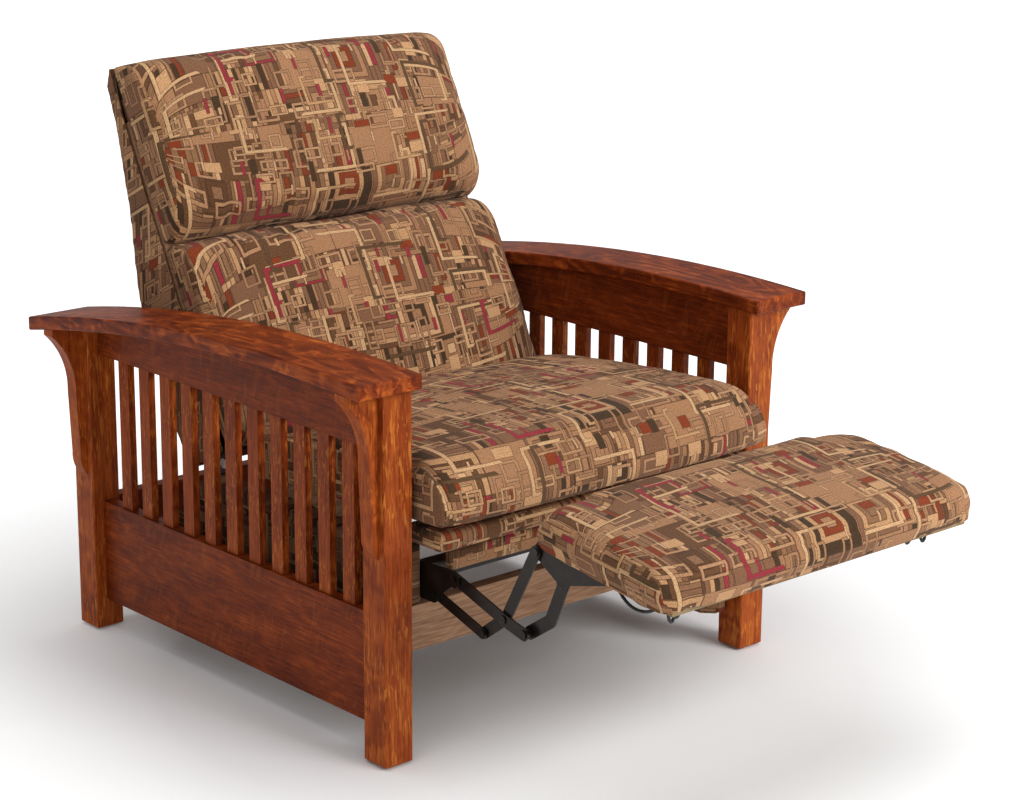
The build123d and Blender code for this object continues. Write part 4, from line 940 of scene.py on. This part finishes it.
def make_flap():
    """The slack cloth under the front of the footrest, a sheet hung between two lines of staples."""
    rows, columns = 28, 96
    half, sag, top, thickness, rippling = 0.254, 0.033, 0.0013, 0.0011, 0.0016
    middle, reach = (FLAP_START + FLAP_STOP) / 2, (FLAP_STOP - FLAP_START) / 2
    radius = (sag ** 2 + reach ** 2) / (2 * sag)
    half_angle = math.asin(reach / radius)
    bm = bmesh.new()
    grid = []
    for j in range(columns + 1):
        x = half * (2 * j / columns - 1)
        row = []
        for i in range(rows + 1):
            angle = half_angle * (2 * i / rows - 1)
            edge = math.sin(math.pi * i / rows)
            ripple = rippling * edge * noise.noise(Vector((x * 22, i / rows * 2.0, 3.0)))
            drop = radius * (math.cos(angle) - math.cos(half_angle)) + ripple
            at = under_pad(middle + radius * math.sin(angle), top + drop)
            row.append(bm.verts.new((x, at.y, at.z)))
        grid.append(row)
    for j in range(columns):
        for i in range(rows):
            bm.faces.new((grid[j][i], grid[j + 1][i], grid[j + 1][i + 1], grid[j][i + 1]))
    obj = link_made("footrest_flap", bm)
    obj.modifiers.new("thick", "SOLIDIFY").thickness = thickness
    apply_modifiers(obj)
    shade_smooth(obj.data)
    obj.data.materials.clear()
    obj.data.materials.append(backing)
    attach(obj, "footrest")
    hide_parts("footrest_underside_cover")


def tube(bm, points):
    """A round cord along points, with a fine wave of its braid."""
    radius, sides, waviness = 0.0023, 14, 0.05
    points = [Vector(p) for p in points]
    rings = []
    # Any direction that no cord follows
    side = Vector((0.13, 0.31, 0.94))
    for i, point in enumerate(points):
        before, after = points[max(i - 1, 0)], points[min(i + 1, len(points) - 1)]
        ahead = (after - before).normalized()
        side = (side - ahead * side.dot(ahead)).normalized()
        other = ahead.cross(side)
        ring = []
        for k in range(sides):
            turn = 2 * math.pi * k / sides
            braid = 1.0 + waviness * math.sin(3 * turn + i * 1.9)
            around = side * math.cos(turn) + other * math.sin(turn)
            ring.append(bm.verts.new(point + around * radius * braid))
        rings.append(ring)
    for low, high in zip(rings[:-1], rings[1:]):
        for k in range(sides):
            bm.faces.new((low[k], low[(k + 1) % sides], high[(k + 1) % sides], high[k]))
    bm.faces.new(rings[0][::-1])
    bm.faces.new(rings[-1])


def make_elastic():
    """The elastic under the footrest: a slack cord along each side of the flap, and two loops at each end."""
    side_x, side_sag, loop_half, behind = 0.2595, 0.036, 0.0062, 0.006
    bm = bmesh.new()
    for side in (-1, 1):
        path = []
        for i in range(61):
            part = i / 60
            sag = ELASTIC_TOP + side_sag * math.sin(math.pi * part) ** 0.8
            at = under_pad(FLAP_START + (FLAP_STOP - FLAP_START) * part, sag)
            path.append((side * (side_x + 0.0015 * math.sin(7 * part)), at.y, at.z))
        tube(bm, path)
        for x, lean, drop in ((0.257, 0.10, 0.029), (0.236, -0.14, 0.030)):
            path = []
            for i in range(41):
                turn = math.pi * i / 40
                fall = ELASTIC_TOP + drop * math.sin(turn) ** 0.55
                at = under_pad(FLAP_STOP + behind + lean * fall, fall)
                path.append((side * x + loop_half * math.cos(turn) + lean * fall * 0.5, at.y, at.z))
            tube(bm, path)
    obj = link_made("footrest_elastic_cords", bm)
    shade_smooth(obj.data)
    obj.data.materials.append(elastic)
    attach(obj, "footrest")
    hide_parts("footrest_elastic")


make_flap()
make_elastic()


# Setting: floor, light and the photograph's camera

def make_floor():
    """A plain pale floor. Away from the object it looks white to the camera and in reflections, which
    throws no light on the object."""
    bm = bmesh.new()
    bmesh.ops.create_grid(bm, x_segments=2, y_segments=2, size=30)
    floor = link_made("floor", bm)
    t = Tree("pale_floor")
    x, y, _ = t.split(t.place())
    reach = t.math("SQRT", t.add(t.mul(x, x), t.mul(y, y)))
    path = t.nodes.new("ShaderNodeLightPath").outputs
    seen = t.either(path["Is Camera Ray"], path["Is Glossy Ray"])
    near, far = t.level(reach, 0.55, 1.5), t.level(reach, 2.5, 8.0)
    glow = t.mul(t.add(t.mul(near, 0.56), t.mul(far, 0.4)), seen)
    floor.data.materials.append(t.surface(Base_Color=(0.93, 0.93, 0.93, 1), Roughness=0.9,
                                          Specular_IOR_Level=0.1, Emission_Color=(1, 1, 1, 1),
                                          Emission_Strength=glow))


def make_light(name, place, size, power):
    """A square soft light that looks at the middle of the chair."""
    data = bpy.data.lights.new(name, "AREA")
    data.shape = "SQUARE"
    data.size = size
    data.energy = power
    lamp = link(name, data)
    lamp.location = place
    target = Vector((0, -0.1, 0.45))
    lamp.rotation_euler = (target - Vector(place)).to_track_quat("-Z", "Y").to_euler()


def make_world():
    """Even pale light from all round. The camera sees it as white."""
    level = 0.42
    world = bpy.data.worlds.new("studio")
    world.use_nodes = True
    tree = world.node_tree
    background = tree.nodes["Background"]
    background.inputs[0].default_value = (1, 1, 1, 1)
    sky = tree.nodes.new("ShaderNodeMath")
    sky.operation = "MULTIPLY_ADD"
    sky.inputs[1].default_value = 1.0 - level
    sky.inputs[2].default_value = level
    path = tree.nodes.new("ShaderNodeLightPath")
    tree.links.new(path.outputs["Is Camera Ray"], sky.inputs[0])
    tree.links.new(sky.outputs[0], background.inputs[1])
    bpy.context.scene.world = world


def make_camera():
    """The photograph's camera, as fitted to the chair's frame. The picture is 1012 pixels wide."""
    yaw, pitch, roll = 0.72679, 0.27100, 0.00716
    place = (-2.5403, -2.6677 + FRONT, 1.5068)
    focal_pixels, width_pixels, sensor = 2572.57, 1012, 36
    forward = Vector((math.sin(yaw) * math.cos(pitch), math.cos(yaw) * math.cos(pitch), -math.sin(pitch)))
    right = Vector((math.cos(yaw), -math.sin(yaw), 0))
    up = right.cross(forward)
    across = right * math.cos(roll) + up * math.sin(roll)
    upright = up * math.cos(roll) - right * math.sin(roll)
    data = bpy.data.cameras.new("camera")
    data.sensor_width = sensor
    data.lens = focal_pixels / width_pixels * sensor
    data.clip_end = 100
    camera = link("camera", data)
    turn = Matrix((across, upright, -forward)).transposed().to_4x4()
    camera.matrix_world = Matrix.Translation(place) @ turn
    bpy.context.scene.camera = camera


make_floor()
make_light("key", (1.2, -4.4, 2.7), 2.2, 185)
make_light("fill", (-3.6, -1.6, 2.6), 2.4, 16)
make_light("top", (-0.2, 0.0, 4.2), 3.0, 55)
make_world()
bpy.context.scene.view_settings.view_transform = "Standard"
make_camera()
